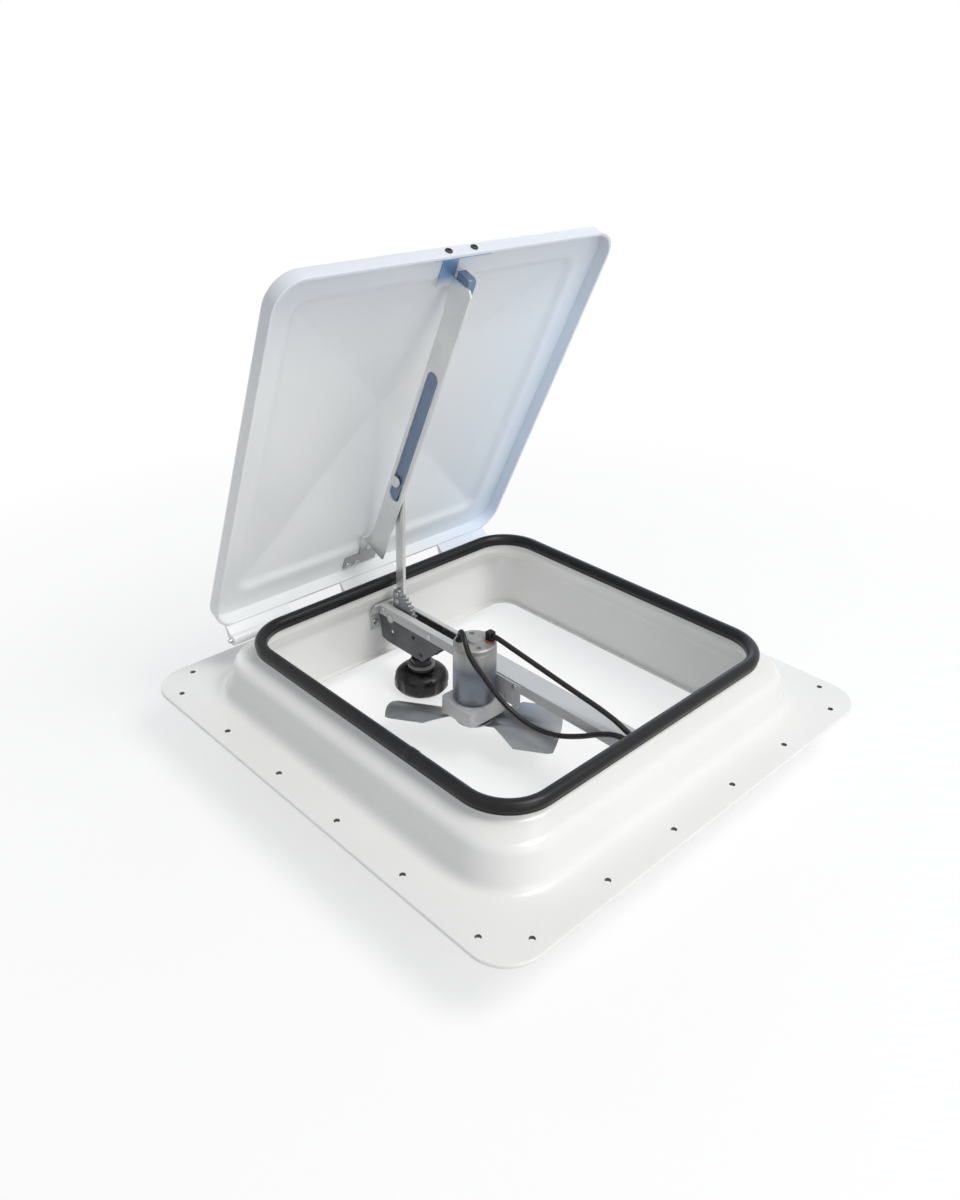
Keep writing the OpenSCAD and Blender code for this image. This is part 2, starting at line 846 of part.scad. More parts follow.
// Two webs inside the channel walls and a floor that carries the knob's bush
module gear_bracket() {
    web_top = channel_top - channel_t - 0.1;
    web_low = floor_z - floor_t - 1;
    web = [
        [pivot_y + 15, web_top], [pivot_y + 19, pivot_z + 2], [pivot_y + 15, floor_z - 0.5],
        [pivot_y + 6, web_low], [pivot_y - 46, web_low], [pivot_y - 76, pivot_z - 1],
        [pivot_y - 87, web_top]
    ];
    color("gray")
        difference() {
            union() {
                for (x = [-channel_in, web_in])
                    plate_yz(x, bracket_t)
                        difference() {
                            polygon(web);
                            for (p = [[-1, -15], [-33, -7.5], [-44, -22.5]])
                                translate([pivot_y + p[0], pivot_z + p[1]])
                                    circle(d = 4);
                        }
                translate([-channel_in, worm_y - 13, floor_z - floor_t])
                    cube([2 * channel_in, 26, floor_t]);
            }
            translate([0, pivot_y, pivot_z])
                rod_x(-channel_w, 2 * channel_w, pivot_d + 0.1);
            each_bracket_rivet()
                rod_x(-channel_w, 2 * channel_w, rivet_d + 0.1);
            translate([0, worm_y, floor_z - floor_t - 1])
                cylinder(h = floor_t + 2, d = bush_d + 0.1);
        }
}

module bracket_rivets() {
    color("silver")
        each_bracket_rivet()
            for (side = [0, 1])
                mirror([side, 0, 0]) {
                    rod_x(web_in - 1, bracket_t + channel_t + 1, rivet_d);
                    rod_x(channel_w / 2, 1.1, rivet_d + 2.6);
                }
}

module knob_bush() {
    color("ivory")
        translate([0, worm_y, 0])
            difference() {
                union() {
                    translate([0, 0, bush_bottom])
                        cylinder(h = bush_top - bush_bottom, d = bush_d);
                    translate([0, 0, bush_bottom])
                        cylinder(h = floor_z - floor_t - bush_bottom, d = bush_d + 4);
                }
                translate([0, 0, bush_bottom - 1])
                    cylinder(h = bush_top - bush_bottom + 2, d = shaft_d + 2 * fit);
            }
}

// Thread section of the worm: crest, flanks and root round one turn
worm_points = 20;
worm_slices = 12 * worm_len / tooth_pitch;
worm_crest = (worm_tooth / 2 - addendum * flank) / tooth_pitch;
worm_base = (worm_tooth / 2 + dedendum * flank) / tooth_pitch;
function worm_rise(f) =
    f <= worm_crest ? 1 : f >= worm_base ? 0 : (worm_base - f) / (worm_base - worm_crest);
worm_section = [for (i = [0:worm_points - 1])
    let (a = 360 * i / worm_points, f = min(a, 360 - a) / 360)
    polar(worm_root + (worm_r - worm_root) * worm_rise(f), a)];
worm_phase = 90 - 360 * (pivot_z + tooth_pitch / 2 - worm_z) / tooth_pitch;

module worm() {
    color("goldenrod")
        translate([0, worm_y, worm_z])
            difference() {
                rotate(worm_phase)
                    linear_extrude(
                        worm_len, twist = -360 * worm_len / tooth_pitch,
                        slices = worm_slices, segments = worm_points
                    )
                        polygon(worm_section);
                translate([0, 0, -1])
                    cylinder(h = worm_len + 2, d = shaft_d + 0.04);
            }
}

module knob_shaft() {
    color("silver")
        translate([0, worm_y, 0])
            difference() {
                union() {
                    translate([0, 0, knob_rim - knob_h / 2])
                        cylinder(h = worm_z + worm_len - knob_rim + knob_h / 2, d = shaft_d);
                    translate([0, 0, bush_top + gap])
                        cylinder(h = worm_z - bush_top - gap, d = shaft_d + 3);
                }
                translate([0, 0, knob_rim - knob_h / 2 - 1])
                    cylinder(h = 11, d = rivet_d + 0.1);
            }
}

knob_neck_r = 10;
knob_boss_r = knob_neck_r + 2.5;
knob_boss_h = 3;
collar_t = 2;
module knob() {
    r = knob_d / 2;
    dome = 12;
    color("#1d1d1f")
        translate([0, worm_y, 0])
            difference() {
                rotate_extrude()
                    polygon(concat(
                        [[0, knob_top], [knob_neck_r - 1, knob_top], [knob_neck_r, knob_top - 1],
                         [knob_neck_r, knob_rim + knob_boss_h], [knob_boss_r, knob_rim + knob_boss_h]],
                        [for (i = [0:6])
                            let (a = 15 * i)
                            [knob_boss_r + (r - knob_boss_r) * sin(a), knob_rim - dome * (1 - cos(a))]],
                        [[r, knob_bottom + 4], [r - 3, knob_bottom], [0, knob_bottom]]
                    ));
                for (i = [1:knob_flutes])
                    rotate(360 * i / knob_flutes)
                        translate([r + 7, 0, knob_bottom - 1])
                            cylinder(h = knob_h + 2, r = 9);
                translate([0, 0, knob_rim - knob_h / 2])
                    cylinder(h = knob_neck + knob_h, d = shaft_d + 0.04);
                translate([0, 0, knob_bottom - 1])
                    cylinder(h = knob_h, d = rivet_d + 0.2);
                translate([0, 0, knob_bottom - 1])
                    cylinder(h = 4, d = head_d + 0.5);
            }
}

module knob_collar() {
    color("lightgray")
        translate([0, worm_y, knob_rim + knob_boss_h])
            difference() {
                cylinder(h = collar_t, r = knob_boss_r + 1);
                translate([0, 0, -1])
                    cylinder(h = collar_t + 2, r = knob_neck_r + 0.1);
            }
}

module knob_screw() {
    color("silver")
        translate([0, worm_y, knob_bottom + 3]) {
            translate([0, 0, -head_h])
                cylinder(h = head_h, d = head_d);
            cylinder(h = knob_h / 2 + 4, d = rivet_d);
        }
}

// Places of the rivets that hold the motor bracket on the channel's near wall
module motor_rivet_places() {
    for (y = [motor_y - tray_y - 9, motor_y + tray_y + 9])
        translate([0, y, bracket_rivet_z])
            children();
}

module motor_tray(inset) {
    rounded_rect(
        [-tray_x + inset, motor_y - tray_y + inset],
        [-channel_w / 2 - inset, motor_y + tray_y - inset],
        tray_r - inset
    );
}

// Pan under the motor with a turned-down skirt, hung from a flange on the channel
module motor_bracket() {
    near = -channel_w / 2 - sheet;
    color("lightgray")
        difference() {
            union() {
                translate([0, 0, motor_plate_z - sheet])
                    linear_extrude(sheet)
                        motor_tray(0);
                translate([0, 0, motor_plate_z - tray_h])
                    linear_extrude(tray_h)
                        difference() {
                            motor_tray(0);
                            motor_tray(sheet);
                        }
                translate([near, motor_y - tray_y - 15, motor_plate_z - 5])
                    cube([sheet, 2 * tray_y + 30, channel_top - motor_plate_z + 3.5]);
            }
            translate([-motor_x, motor_y, motor_plate_z - sheet - 1])
                cylinder(h = sheet + 2, d = 2 * motor_shaft_d + 4.2);
            motor_rivet_places()
                rod_x(-channel_w, channel_w, rivet_d + 0.1);
        }
}

module motor_bracket_rivets() {
    out = channel_w / 2 + sheet;
    color("silver")
        motor_rivet_places() {
            rod_x(-out, out - channel_in + 1, rivet_d);
            rod_x(-out - 1.1, 1.1, rivet_d + 2.6);
        }
}

module motor_can() {
    r = motor_d / 2;
    color("slategray")
        translate([-motor_x, motor_y, motor_plate_z])
            difference() {
                rotate_extrude()
                    polygon(concat(
                        [[0, 0]],
                        [for (i = [0:4])
                            let (a = 22.5 * i - 90)
                            [r - 3 + 3 * cos(a), 3 + 3 * sin(a)]],
                        [[r, motor_len], [0, motor_len]]
                    ));
                translate([0, 0, motor_wall])
                    cylinder(h = motor_len, r = r - motor_wall);
                translate([0, 0, -1])
                    cylinder(h = motor_wall + 2, d = 2 * motor_shaft_d + 0.2);
            }
}

module motor_cap() {
    r = motor_d / 2;
    color("gray")
        translate([-motor_x, motor_y, motor_top])
            difference() {
                union() {
                    cylinder(h = motor_cap_h - 1, r = r - 0.3);
                    translate([0, 0, motor_cap_h - 1])
                        cylinder(h = 1, r1 = r - 0.3, r2 = r - 1.3);
                    translate([0, 0, motor_cap_h])
                        cylinder(h = 1.6, r = motor_shaft_d + 1);
                }
                translate([0, 0, -1])
                    cylinder(h = motor_cap_h - 1, d = 2 * motor_shaft_d + 0.2);
                for (a = [60, 240])
                    rotate(a)
                        translate([r * 0.55, -2, motor_cap_h - 2])
                            cube([4, 4, 4]);
            }
}

module motor_magnets() {
    r = motor_d / 2 - motor_wall;
    color("#3a3a3c")
        translate([-motor_x, motor_y, motor_plate_z + 9])
            for (side = [0, 180])
                rotate(side - 60)
                    rotate_extrude(angle = 120)
                        translate([r - 3.5, 0])
                            square([3.4, motor_len - 18]);
}

module motor_bearings() {
    color("darkgoldenrod")
        translate([-motor_x, motor_y, 0])
            for (z = [motor_plate_z - sheet, motor_top - 2])
                translate([0, 0, z])
                    difference() {
                        cylinder(h = 5, d = 2 * motor_shaft_d);
                        translate([0, 0, -1])
                            cylinder(h = 7, d = motor_shaft_d + 2 * fit);
                    }
}

module armature() {
    r = motor_d / 2 - motor_wall - 4.2;
    color("saddlebrown")
        translate([-motor_x, motor_y, motor_plate_z + 10])
            difference() {
                cylinder(h = motor_len - 22, r = r);
                for (i = [0:4])
                    rotate(72 * i)
                        translate([r - 5, -1, -1])
                            cube([6, 2, motor_len]);
                translate([0, 0, -1])
                    cylinder(h = motor_len, d = motor_shaft_d + 0.04);
            }
}

module commutator() {
    color("chocolate")
        translate([-motor_x, motor_y, motor_top - 10])
            difference() {
                cylinder(h = 7, d = 2 * motor_shaft_d + 2);
                translate([0, 0, -1])
                    cylinder(h = 9, d = motor_shaft_d + 0.04);
            }
}

module motor_shaft() {
    tail = 9;
    color("silver")
        translate([-motor_x, motor_y, fan_z - tail])
            cylinder(h = motor_top + 2 - fan_z + tail, d = motor_shaft_d);
}

module fan_hub() {
    color("gray")
        translate([-motor_x, motor_y, fan_z + sheet])
            difference() {
                union() {
                    cylinder(h = 5, d = 20);
                    cylinder(h = fan_drop - sheet - 5, d = 2 * motor_shaft_d + 2);
                }
                translate([0, 0, -1])
                    cylinder(h = fan_drop, d = motor_shaft_d + 0.04);
            }
}

// One cambered blade along +X: a thin curved sheet trimmed to the blade's outline
blade_neck = 18;
blade_root = [for (v = [-1, 1])
    each [for (p = v < 0 ? [[6, blade_neck], [20, blade_neck], [40, blade_w], [56, blade_w]]
                         : [[56, blade_w], [40, blade_w], [20, blade_neck], [6, blade_neck]])
        [p[0], v * p[1] / 2]]];
module blade() {
    camber = 80;
    rotate([blade_pitch, 0, 0])
        intersection() {
            translate([0, 0, -camber + 1.2])
                rotate([0, 90, 0])
                    difference() {
                        cylinder(h = fan_d, r = camber, $fn = 128);
                        translate([0, 0, -1])
                            cylinder(h = fan_d + 2, r = camber - sheet / 2, $fn = 128);
                    }
            translate([0, 0, -30])
                linear_extrude(60)
                    intersection() {
                        union() {
                            polygon(blade_root);
                            rounded_rect([42, -blade_w / 2], [fan_d / 2 + 3, blade_w / 2], 13);
                        }
                        circle(d = fan_d);
                    }
        }
}

module fan_blades() {
    color("lightsteelblue")
        translate([-motor_x, motor_y, fan_z])
            difference() {
                union() {
                    cylinder(h = sheet, d = 34);
                    for (a = [fan_turn, fan_turn + 180])
                        rotate(a)
                            blade();
                }
                translate([0, 0, -10])
                    cylinder(h = 10, d = 16);
                translate([0, 0, sheet])
                    cylinder(h = 10, d = 20.6);
                translate([0, 0, -12])
                    cylinder(h = 24, d = motor_shaft_d + 0.1);
            }
}

module fan_nut() {
    color("silver")
        translate([-motor_x, motor_y, fan_z - 4])
            difference() {
                cylinder(h = 4, d = 9.2, $fn = 6);
                translate([0, 0, -1])
                    cylinder(h = 6, d = motor_shaft_d + 0.04);
            }
}

// Rubber boots on the motor cap: a low round one and an upright one with a side exit
module motor_grommets() {
    color("#18181a")
        translate([0, 0, motor_top + motor_cap_h]) {
            translate(near_boot)
                cylinder(h = near_boot_h, d1 = lead_d + 3, d2 = lead_d + 1.4);
            translate(far_boot)
                linear_extrude(far_boot_h)
                    rounded_rect([-far_boot_w / 2, -far_boot_w / 2], [far_boot_w / 2, far_boot_w / 2], 0.8);
        }
}

// Smooth curve through the points of a route, and the round tube that follows it
function spline(a, b, c, d, t) =
    0.5 * (2 * b + (c - a) * t + (2 * a - 5 * b + 4 * c - d) * t * t
        + (3 * b - a - 3 * c + d) * t * t * t);
function smooth(route) =
    let (n = len(route) - 1)
    [for (k = [0:n - 1])
        for (t = k == n - 1 ? [0, 0.5, 1] : [0, 0.5])
            spline(route[max(k - 1, 0)], route[k], route[k + 1], route[min(k + 2, n)], t)];
function heading(path, i, first, last) =
    let (n = len(path) - 1)
    i == 0 ? first : i == n ? last : (path[i + 1] - path[i - 1]) / norm(path[i + 1] - path[i - 1]);

module lead(route, first) {
    sides = 10;
    path = smooth(route);
    m = len(path);
    points = [for (i = [0:m - 1])
        let (t = heading(path, i, first, [0, -1, 0]))
        let (u = cross(t, [1, 0, 0]) / norm(cross(t, [1, 0, 0])), v = cross(t, u))
        for (k = [0:sides - 1])
            path[i] + lead_d / 2 * (u * cos(360 * k / sides) + v * sin(360 * k / sides))];
    caps = [[for (k = [0:sides - 1]) k], [for (k = [sides - 1:-1:0]) (m - 1) * sides + k]];
    color("#151517")
        polyhedron(points, concat(band(sides, m, false), caps), convexity = 6);
}

module lead_near() {
    lead(near_route, [0, 0, 1]);
}

module lead_far() {
    lead(far_route, [0, -1, 0]);
}

// Rubber block on the channel that both leads run into
module lead_gland() {
    color("#18181a")
        difference() {
            translate([0, lead_gland_y, channel_top])
                rotate([90, 0, 0])
                    linear_extrude(lead_gland_l)
                        rounded_rect([-channel_w / 2, 0], [channel_w / 2, 8.5], 2.5);
            translate([4, lead_gland_y - lead_gland_l / 2, channel_top - 2])
                cylinder(h = 12, d = 3);
        }
}

base_frame();
rim_seal();
hinge_tabs();
hinge_tab_screws();
hinge_pin();
lid();
lid_rail();
rail_front_screws();
rail_foot_rivets();
lift_arm();
sector_gear();
arm_rivets();
slide_pin();
slide_bush();
arm_pivot_pin();
cross_channel();
channel_screws();
gear_bracket();
bracket_rivets();
knob_bush();
worm();
knob_shaft();
knob();
knob_collar();
knob_screw();
motor_bracket();
motor_bracket_rivets();
motor_can();
motor_cap();
motor_magnets();
motor_bearings();
armature();
commutator();
motor_shaft();
fan_hub();
fan_blades();
fan_nut();
motor_grommets();
lead_near();
lead_far();
lead_gland();
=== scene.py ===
"""Looks of a powered caravan roof vent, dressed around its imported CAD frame."""

import logging
import math
from dataclasses import dataclass, field
from enum import Enum
from typing import Any, Callable, Iterable, Sequence

import bmesh
import bpy
from mathutils import Matrix, Vector


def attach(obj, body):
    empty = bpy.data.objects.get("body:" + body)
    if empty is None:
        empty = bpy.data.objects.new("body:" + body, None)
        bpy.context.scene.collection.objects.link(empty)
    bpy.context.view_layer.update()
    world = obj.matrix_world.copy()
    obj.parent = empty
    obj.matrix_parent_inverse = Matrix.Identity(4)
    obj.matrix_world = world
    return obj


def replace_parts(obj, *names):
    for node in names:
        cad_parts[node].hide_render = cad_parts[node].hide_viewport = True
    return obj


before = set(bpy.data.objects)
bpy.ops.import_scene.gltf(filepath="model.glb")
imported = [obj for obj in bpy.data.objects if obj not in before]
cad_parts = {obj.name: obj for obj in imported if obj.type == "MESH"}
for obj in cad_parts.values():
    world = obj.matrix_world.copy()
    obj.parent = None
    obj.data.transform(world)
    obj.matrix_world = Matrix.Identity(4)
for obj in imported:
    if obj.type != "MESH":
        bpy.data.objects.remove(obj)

LOG = logging.getLogger("roof_vent")
MM = 0.001
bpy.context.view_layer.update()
WHITE = (1, 1, 1, 1)

Piece = bpy.types.Object
Tree = bpy.types.NodeTree
Socket = bpy.types.NodeSocket
Pair = tuple[float, float]
Point = tuple[float, float, float]
# Half width and height of a section's corner, its rounding, and the corner radius of its ring
Corner = tuple[float, float, float, float]

# Places taken from the construction, in millimetres and degrees
HINGE: Point = (0.0, 190.0, 36.0)
LID_OPEN = 65.5
LID_FRONT_Y = -176.0
RAIL_SCREW_X = (-19.0, 7.0)
RAIL_SCREW_Z = 53.15
RAIL_RIVET_X = (-19.0, -8.0)
RAIL_RIVET_Y = 174.0
RAIL_RIVET_Z = 57.7
PIVOT: Point = (0.0, 149.0, 18.0)
ARM_TURN = 91.4218
ARM_RIVET_ALONG = (16.0, 24.0)
# Each face of the arm with its gear, and the way it looks
ARM_FACES = ((-2.0, -1), (5.0, 1))
CHANNEL_END_Y = 172.5
CHANNEL_SCREW_X = (-12.0, 12.0)
CHANNEL_SCREW_Z = 5.0
WEB_RIVET_Z = 23.0
BRACKET_X = 11.0
BRACKET_RIVET_Y = (160.0, 91.0)
PAN_X = -12.6
PAN_RIVET_Y = (-23.5, 35.5)
# Middle, run and rise of the shoulder that carries the hinge tabs, and the screws of the tabs
SHOULDER_Y, SHOULDER_Z = 174.0, 38.0
SHOULDER_RUN, SHOULDER_RISE = 18.0, 8.0
TAB_SCREW_X = (-90.5, -37.5, 37.5, 90.5)
TAB_SCREW_UP = 2.75
TAB_THICKNESS = 1.8

# Flats that make each kind of round look round, and facets across a rounded edge
DRILL_SIDES = SHANK_SIDES = 20
HEAD_SIDES = BORE_SIDES = 32
TUBE_SIDES = 40
ROD_FACETS = 3
HEAD_FACETS = 4
# An edge that rises less than this lies level, in metres
LEVEL = 1e-7

# How the noise of a finish is drawn, and the stretch of it that counts from none to full
PATCH_DETAIL = 3.0
PATCH_FINENESS = 0.55
PATCH_RANGE = (0.35, 0.68)
GRAIN_DETAIL = 2.0
GRAIN_RANGE = (0.3, 0.7)

# Edges of the CAD nodes that show: reach of the weld in metres, width, steps and least angle
WELD_REACH = 1e-6
EASE_MM = 0.25
EASE_STEPS = 2
EASE_ANGLE = 40


def linear(hex_colour: str) -> tuple[float, float, float, float]:
    """Turns an sRGB hex colour into linear light.

    Args:
        hex_colour: six hex digits with a leading hash.

    Returns:
        The linear red, green, blue and an alpha of one.
    """
    parts = [int(hex_colour[i:i + 2], 16) / 255 for i in (1, 3, 5)]
    r, g, b = [p / 12.92 if p <= 0.04045 else ((p + 0.055) / 1.055) ** 2.4 for p in parts]
    return r, g, b, 1.0


def add_node(
    tree: Tree, kind: str, inputs: dict[Any, Any] | None = None, **settings: Any
) -> bpy.types.Node:
    """Adds a node with its settings, values and links.

    Args:
        tree: the node tree that gets the node.
        kind: the shader node's type, without the prefix that all of them have.
        inputs: a value or an output socket for each named input.
        settings: properties of the node itself.

    Returns:
        The new node.
    """
    node = tree.nodes.new("ShaderNode" + kind)
    for name, value in settings.items():
        setattr(node, name, value)
    for key, value in (inputs or {}).items():
        if isinstance(value, Socket):
            tree.links.new(value, node.inputs[key])
        else:
            node.inputs[key].default_value = value
    return node


def empty_tree(owner: bpy.types.Material | bpy.types.World) -> Tree:
    """Gives a material or a world an empty node tree.

    Args:
        owner: the material or world.

    Returns:
        Its tree.
    """
    owner.use_nodes = True
    owner.node_tree.nodes.clear()
    return owner.node_tree


class Lay(Enum):
    """Direction in which tool marks lie, as stretches of the grain."""

    NONE = (1.0, 1.0, 1.0)
    ALONG_Y = (1.0, 0.04, 1.0)
    ALONG_Z = (1.0, 1.0, 0.04)


class Axis(Enum):
    """Axis along which a band sets in."""

    X = "X"
    Z = "Z"


@dataclass(frozen=True)
class Band:
    """A second colour that sets in between two places along an axis."""

    colour: str
    axis: Axis
    start_mm: float
    stop_mm: float


@dataclass(frozen=True)
class Finish:
    """One real material and how its surface was made.

    The second tone drifts over the first: drift gives the size of its patches in millimetres and
    its share. The grain is a fine relief that also moves the roughness between its two values:
    grain gives its spacing and its height in millimetres.
    """

    name: str
    colour: str
    tint: str
    drift: Pair
    rough: Pair
    grain: Pair
    metallic: float = 0.0
    ior: float = 1.5
    coat: float = 0.0
    specular: float = 0.5
    lay: Lay = Lay.NONE
    bands: tuple[Band, ...] = ()

    def make(self) -> bpy.types.Material:
        """Builds the node material.

        Returns:
            The material, made once for each name.
        """
        found = bpy.data.materials.get(self.name)
        if found:
            return found
        patch_mm, share_most = self.drift
        grain_mm, depth_mm = self.grain
        material = bpy.data.materials.new(self.name)
        tree = empty_tree(material)
        place = add_node(tree, "TexCoord").outputs["Object"]
        patches = add_node(
            tree, "TexNoise",
            {"Vector": place, "Scale": 1 / (patch_mm * MM), "Detail": PATCH_DETAIL,
             "Roughness": PATCH_FINENESS},
        )
        share = add_node(
            tree, "MapRange",
            {0: patches.outputs[0], 1: PATCH_RANGE[0], 2: PATCH_RANGE[1], 3: 0.0, 4: share_most},
        )
        tone = add_node(
            tree, "Mix",
            {0: share.outputs[0], 6: linear(self.colour), 7: linear(self.tint)}, data_type="RGBA",
        ).outputs[2]
        for band in self.bands:
            tone = self.banded(tree, place, tone, band)
        laid = add_node(tree, "Mapping", {0: place, "Scale": self.lay.value})
        grain = add_node(
            tree, "TexNoise",
            {"Vector": laid.outputs[0], "Scale": 1 / (grain_mm * MM), "Detail": GRAIN_DETAIL},
        )
        rough = add_node(
            tree, "MapRange",
            {0: grain.outputs[0], 1: GRAIN_RANGE[0], 2: GRAIN_RANGE[1], 3: self.rough[0],
             4: self.rough[1]},
        )
        relief = add_node(
            tree, "Bump",
            {"Height": grain.outputs[0], "Distance": depth_mm * MM, "Strength": 1.0},
        )
        shader = add_node(
            tree, "BsdfPrincipled",
            {"Base Color": tone, "Metallic": self.metallic, "Roughness": rough.outputs[0],
             "IOR": self.ior, "Specular IOR Level": self.specular, "Coat Weight": self.coat,
             "Normal": relief.outputs[0]},
        )
        add_node(tree, "OutputMaterial", {"Surface": shader.outputs[0]})
        return material

    @staticmethod
    def banded(
        tree: Tree, place: Socket, tone: Socket, band: Band
    ) -> Socket:
        """Lays a band's colour over a tone.

        Args:
            tree: the material's nodes.
            place: the surface's own coordinates.
            tone: the colour under the band.
            band: the band.

        Returns:
            The banded colour.
        """
        split = add_node(tree, "SeparateXYZ", {0: place})
        rise = add_node(
            tree, "MapRange",
            {0: split.outputs[band.axis.value], 1: band.start_mm * MM, 2: band.stop_mm * MM},
        )
        return add_node(
            tree, "Mix",
            {0: rise.outputs[0], 6: tone, 7: linear(band.colour)}, data_type="RGBA",
        ).outputs[2]

    def dress(self, piece: Piece) -> None:
        """Gives a piece this finish and no other."""
        piece.data.materials.clear()
        piece.data.materials.append(self.make())


# Injection-moulded ABS: a hard gloss over a faint orange peel, a little warm. The peel is drawn
# coarser than the real one, so that it shows
WHITE_ABS = Finish(
    "ABS white moulded", "#EEEEEC", "#E8E8E5", drift=(140, 0.5), rough=(0.21, 0.27),
    grain=(8, 0.006), ior=1.53)
# Walls of the drilled holes: torn and matt, coloured dark as painted shade so that they read as
# dark dots
HOLE_WALL_PAINTED_SHADE = Finish(
    "ABS drilled edge painted shade", "#6B6865", "#524F4C", drift=(2, 0.7), rough=(0.6, 0.75),
    grain=(0.6, 0.02))
# The lid's thinner ABS takes a cooler, softer gloss, with its peel drawn coarse as well. Its right
# side runs to pale blue as painted sky light, and its top to a cooler grey as painted shade
LID_ABS = Finish(
    "ABS white lid moulded", "#F3F4F4", "#EBEFF1", drift=(160, 0.6), rough=(0.30, 0.36),
    grain=(10, 0.006), ior=1.53,
    # Bands: painted blue sky light over the right side, painted shade over the top
    bands=(Band("#E4EFFC", Axis.X, 40.0, 173.0), Band("#DDE2EA", Axis.Z, 290.0, 376.0)))
# Extruded EPDM: close to black with a soft sheen and a dusty bloom
EPDM = Finish(
    "EPDM rubber extruded", "#0D0D10", "#17171A", drift=(14, 0.6), rough=(0.30, 0.40),
    grain=(1.6, 0.006), specular=0.3)
# Bright zinc on cold-rolled strip: pale, slightly warm, with a spangle drawn coarse to show
ZINC_STRIP = Finish(
    "Zinc plated steel strip", "#E3E4E2", "#D2D4D4", drift=(26, 0.6), rough=(0.30, 0.36),
    grain=(3.0, 0.001), metallic=0.6)
# The rail's strip, which runs to blue next to the skirt as a painted reflection of the blue sky,
# and is coloured darker towards the foot
RAIL_STRIP = Finish(
    "Zinc plated steel rail", "#E8E9E7", "#D9DBDB", drift=(26, 0.6), rough=(0.30, 0.36),
    grain=(3.0, 0.001), metallic=0.6,
    # Bands: painted blue reflection at the top end, and a darker grey towards the foot
    bands=(Band("#86A6CB", Axis.Z, 346.0, 355.0), Band("#A2A3A3", Axis.Z, 84.0, 74.0)))
# Inside of the rail: zinc coloured slate blue as painted shade with a painted blue reflection, so
# that it reads as a dark line through the slot
RAIL_INSIDE_PAINTED_SHADE = Finish(
    "Zinc rail inside painted shade", "#7A8EA8", "#6A7D96", drift=(24, 0.6), rough=(0.32, 0.40),
    grain=(3.0, 0.001), metallic=0.4)
# Zinc on small turned and headed parts: bright, broken by fine tool marks
ZINC_PIN = Finish(
    "Zinc plated steel turned", "#C9CACB", "#A9ABAE", drift=(9, 0.5), rough=(0.24, 0.40),
    grain=(0.5, 0.008), metallic=1.0)
# Blackened screws: dull, with brown-grey patches
BLACK_SCREW = Finish(
    "Blackened steel", "#3B3A3A", "#504C49", drift=(4, 0.6), rough=(0.35, 0.5),
    grain=(0.4, 0.01), metallic=0.8)
# Milled gear plate: mid grey and satin under fine cutter marks
GEAR_STEEL = Finish(
    "Milled gear steel", "#9FA1A3", "#8C8E91", drift=(12, 0.6), rough=(0.42, 0.55),
    grain=(0.6, 0.012), metallic=1.0)
# Bracket webs: unpainted dull sheet, dark grey with mill scale
BRACKET_SHEET = Finish(
    "Dull steel sheet", "#646569", "#4F5054", drift=(16, 0.7), rough=(0.42, 0.58),
    grain=(0.8, 0.015), metallic=0.55, lay=Lay.ALONG_Y)
# Channel and motor pan: pale stoved paint over folded sheet, with its peel drawn coarse to show
STOVED_PAINT = Finish(
    "Stoved grey paint", "#C8C9C9", "#B8BABC", drift=(40, 0.6), rough=(0.30, 0.38),
    grain=(3.0, 0.006), coat=0.2)
# Black nylon slides: dense black with a soft, waxy gloss
BLACK_NYLON = Finish(
    "Nylon black moulded", "#1B1B1D", "#262628", drift=(6, 0.5), rough=(0.35, 0.5),
    grain=(0.5, 0.01))
# Grey nylon: dull, a shade paler where it is handled
GREY_NYLON = Finish(
    "Nylon grey moulded", "#868583", "#757472", drift=(10, 0.5), rough=(0.32, 0.46),
    grain=(0.6, 0.01), ior=1.53)
# Brass worm, cut on a lathe: warm yellow, bright on its flanks
BRASS = Finish(
    "Brass machined", "#C9A75A", "#B08F45", drift=(8, 0.5), rough=(0.22, 0.36),
    grain=(0.4, 0.008), metallic=1.0)
# Phenolic hand knob: deep black with a wet gloss
PHENOLIC = Finish(
    "Phenolic black moulded", "#0B0B0D", "#131315", drift=(20, 0.4), rough=(0.20, 0.28),
    grain=(4, 0.006), specular=0.4)
# Drawn motor can: blue-grey with fine draw lines up its length, paler under the end bell
MOTOR_STEEL = Finish(
    "Drawn steel can", "#7E848C", "#6A7079", drift=(22, 0.6), rough=(0.28, 0.40),
    grain=(0.6, 0.008), metallic=0.85, lay=Lay.ALONG_Z,
    bands=(Band("#B9BABA", Axis.Z, 42.0, 54.0),))
# End bell: die-cast, paler and duller than the can
END_BELL = Finish(
    "Die cast zinc", "#ACABA8", "#989794", drift=(10, 0.7), rough=(0.38, 0.52),
    grain=(0.8, 0.02), metallic=0.4)
# Pressed and fired magnets: charcoal grey, matt and slightly gritty
FERRITE = Finish(
    "Sintered ferrite", "#2E2E31", "#3A3A3D", drift=(8, 0.6), rough=(0.5, 0.65),
    grain=(0.5, 0.02))
# Oil-filled bearings: brown-gold with an open, dull grain
BRONZE = Finish(
    "Sintered bronze", "#A9814A", "#8E6B3A", drift=(5, 0.6), rough=(0.35, 0.5),
    grain=(0.4, 0.01), metallic=1.0)
# Windings and commutator bars: red-brown with a lacquered gloss
COPPER = Finish(
    "Enamelled copper", "#A8603A", "#8C4C2C", drift=(4, 0.6), rough=(0.25, 0.4),
    grain=(0.5, 0.03), metallic=0.8)
# Pressed aluminium blades: pale blue-grey, rolled marks across the blade
BLADE_ALLOY = Finish(
    "Pressed aluminium", "#999CA0", "#84888F", drift=(30, 0.6), rough=(0.30, 0.44),
    grain=(0.8, 0.01), metallic=0.8, lay=Lay.ALONG_Y)
# Moulded rubber boots and gland: black and matt, with a little bloom
BOOT_RUBBER = Finish(
    "Neoprene moulded", "#0E0E10", "#17171A", drift=(5, 0.5), rough=(0.40, 0.52),
    grain=(1.0, 0.008), specular=0.3)
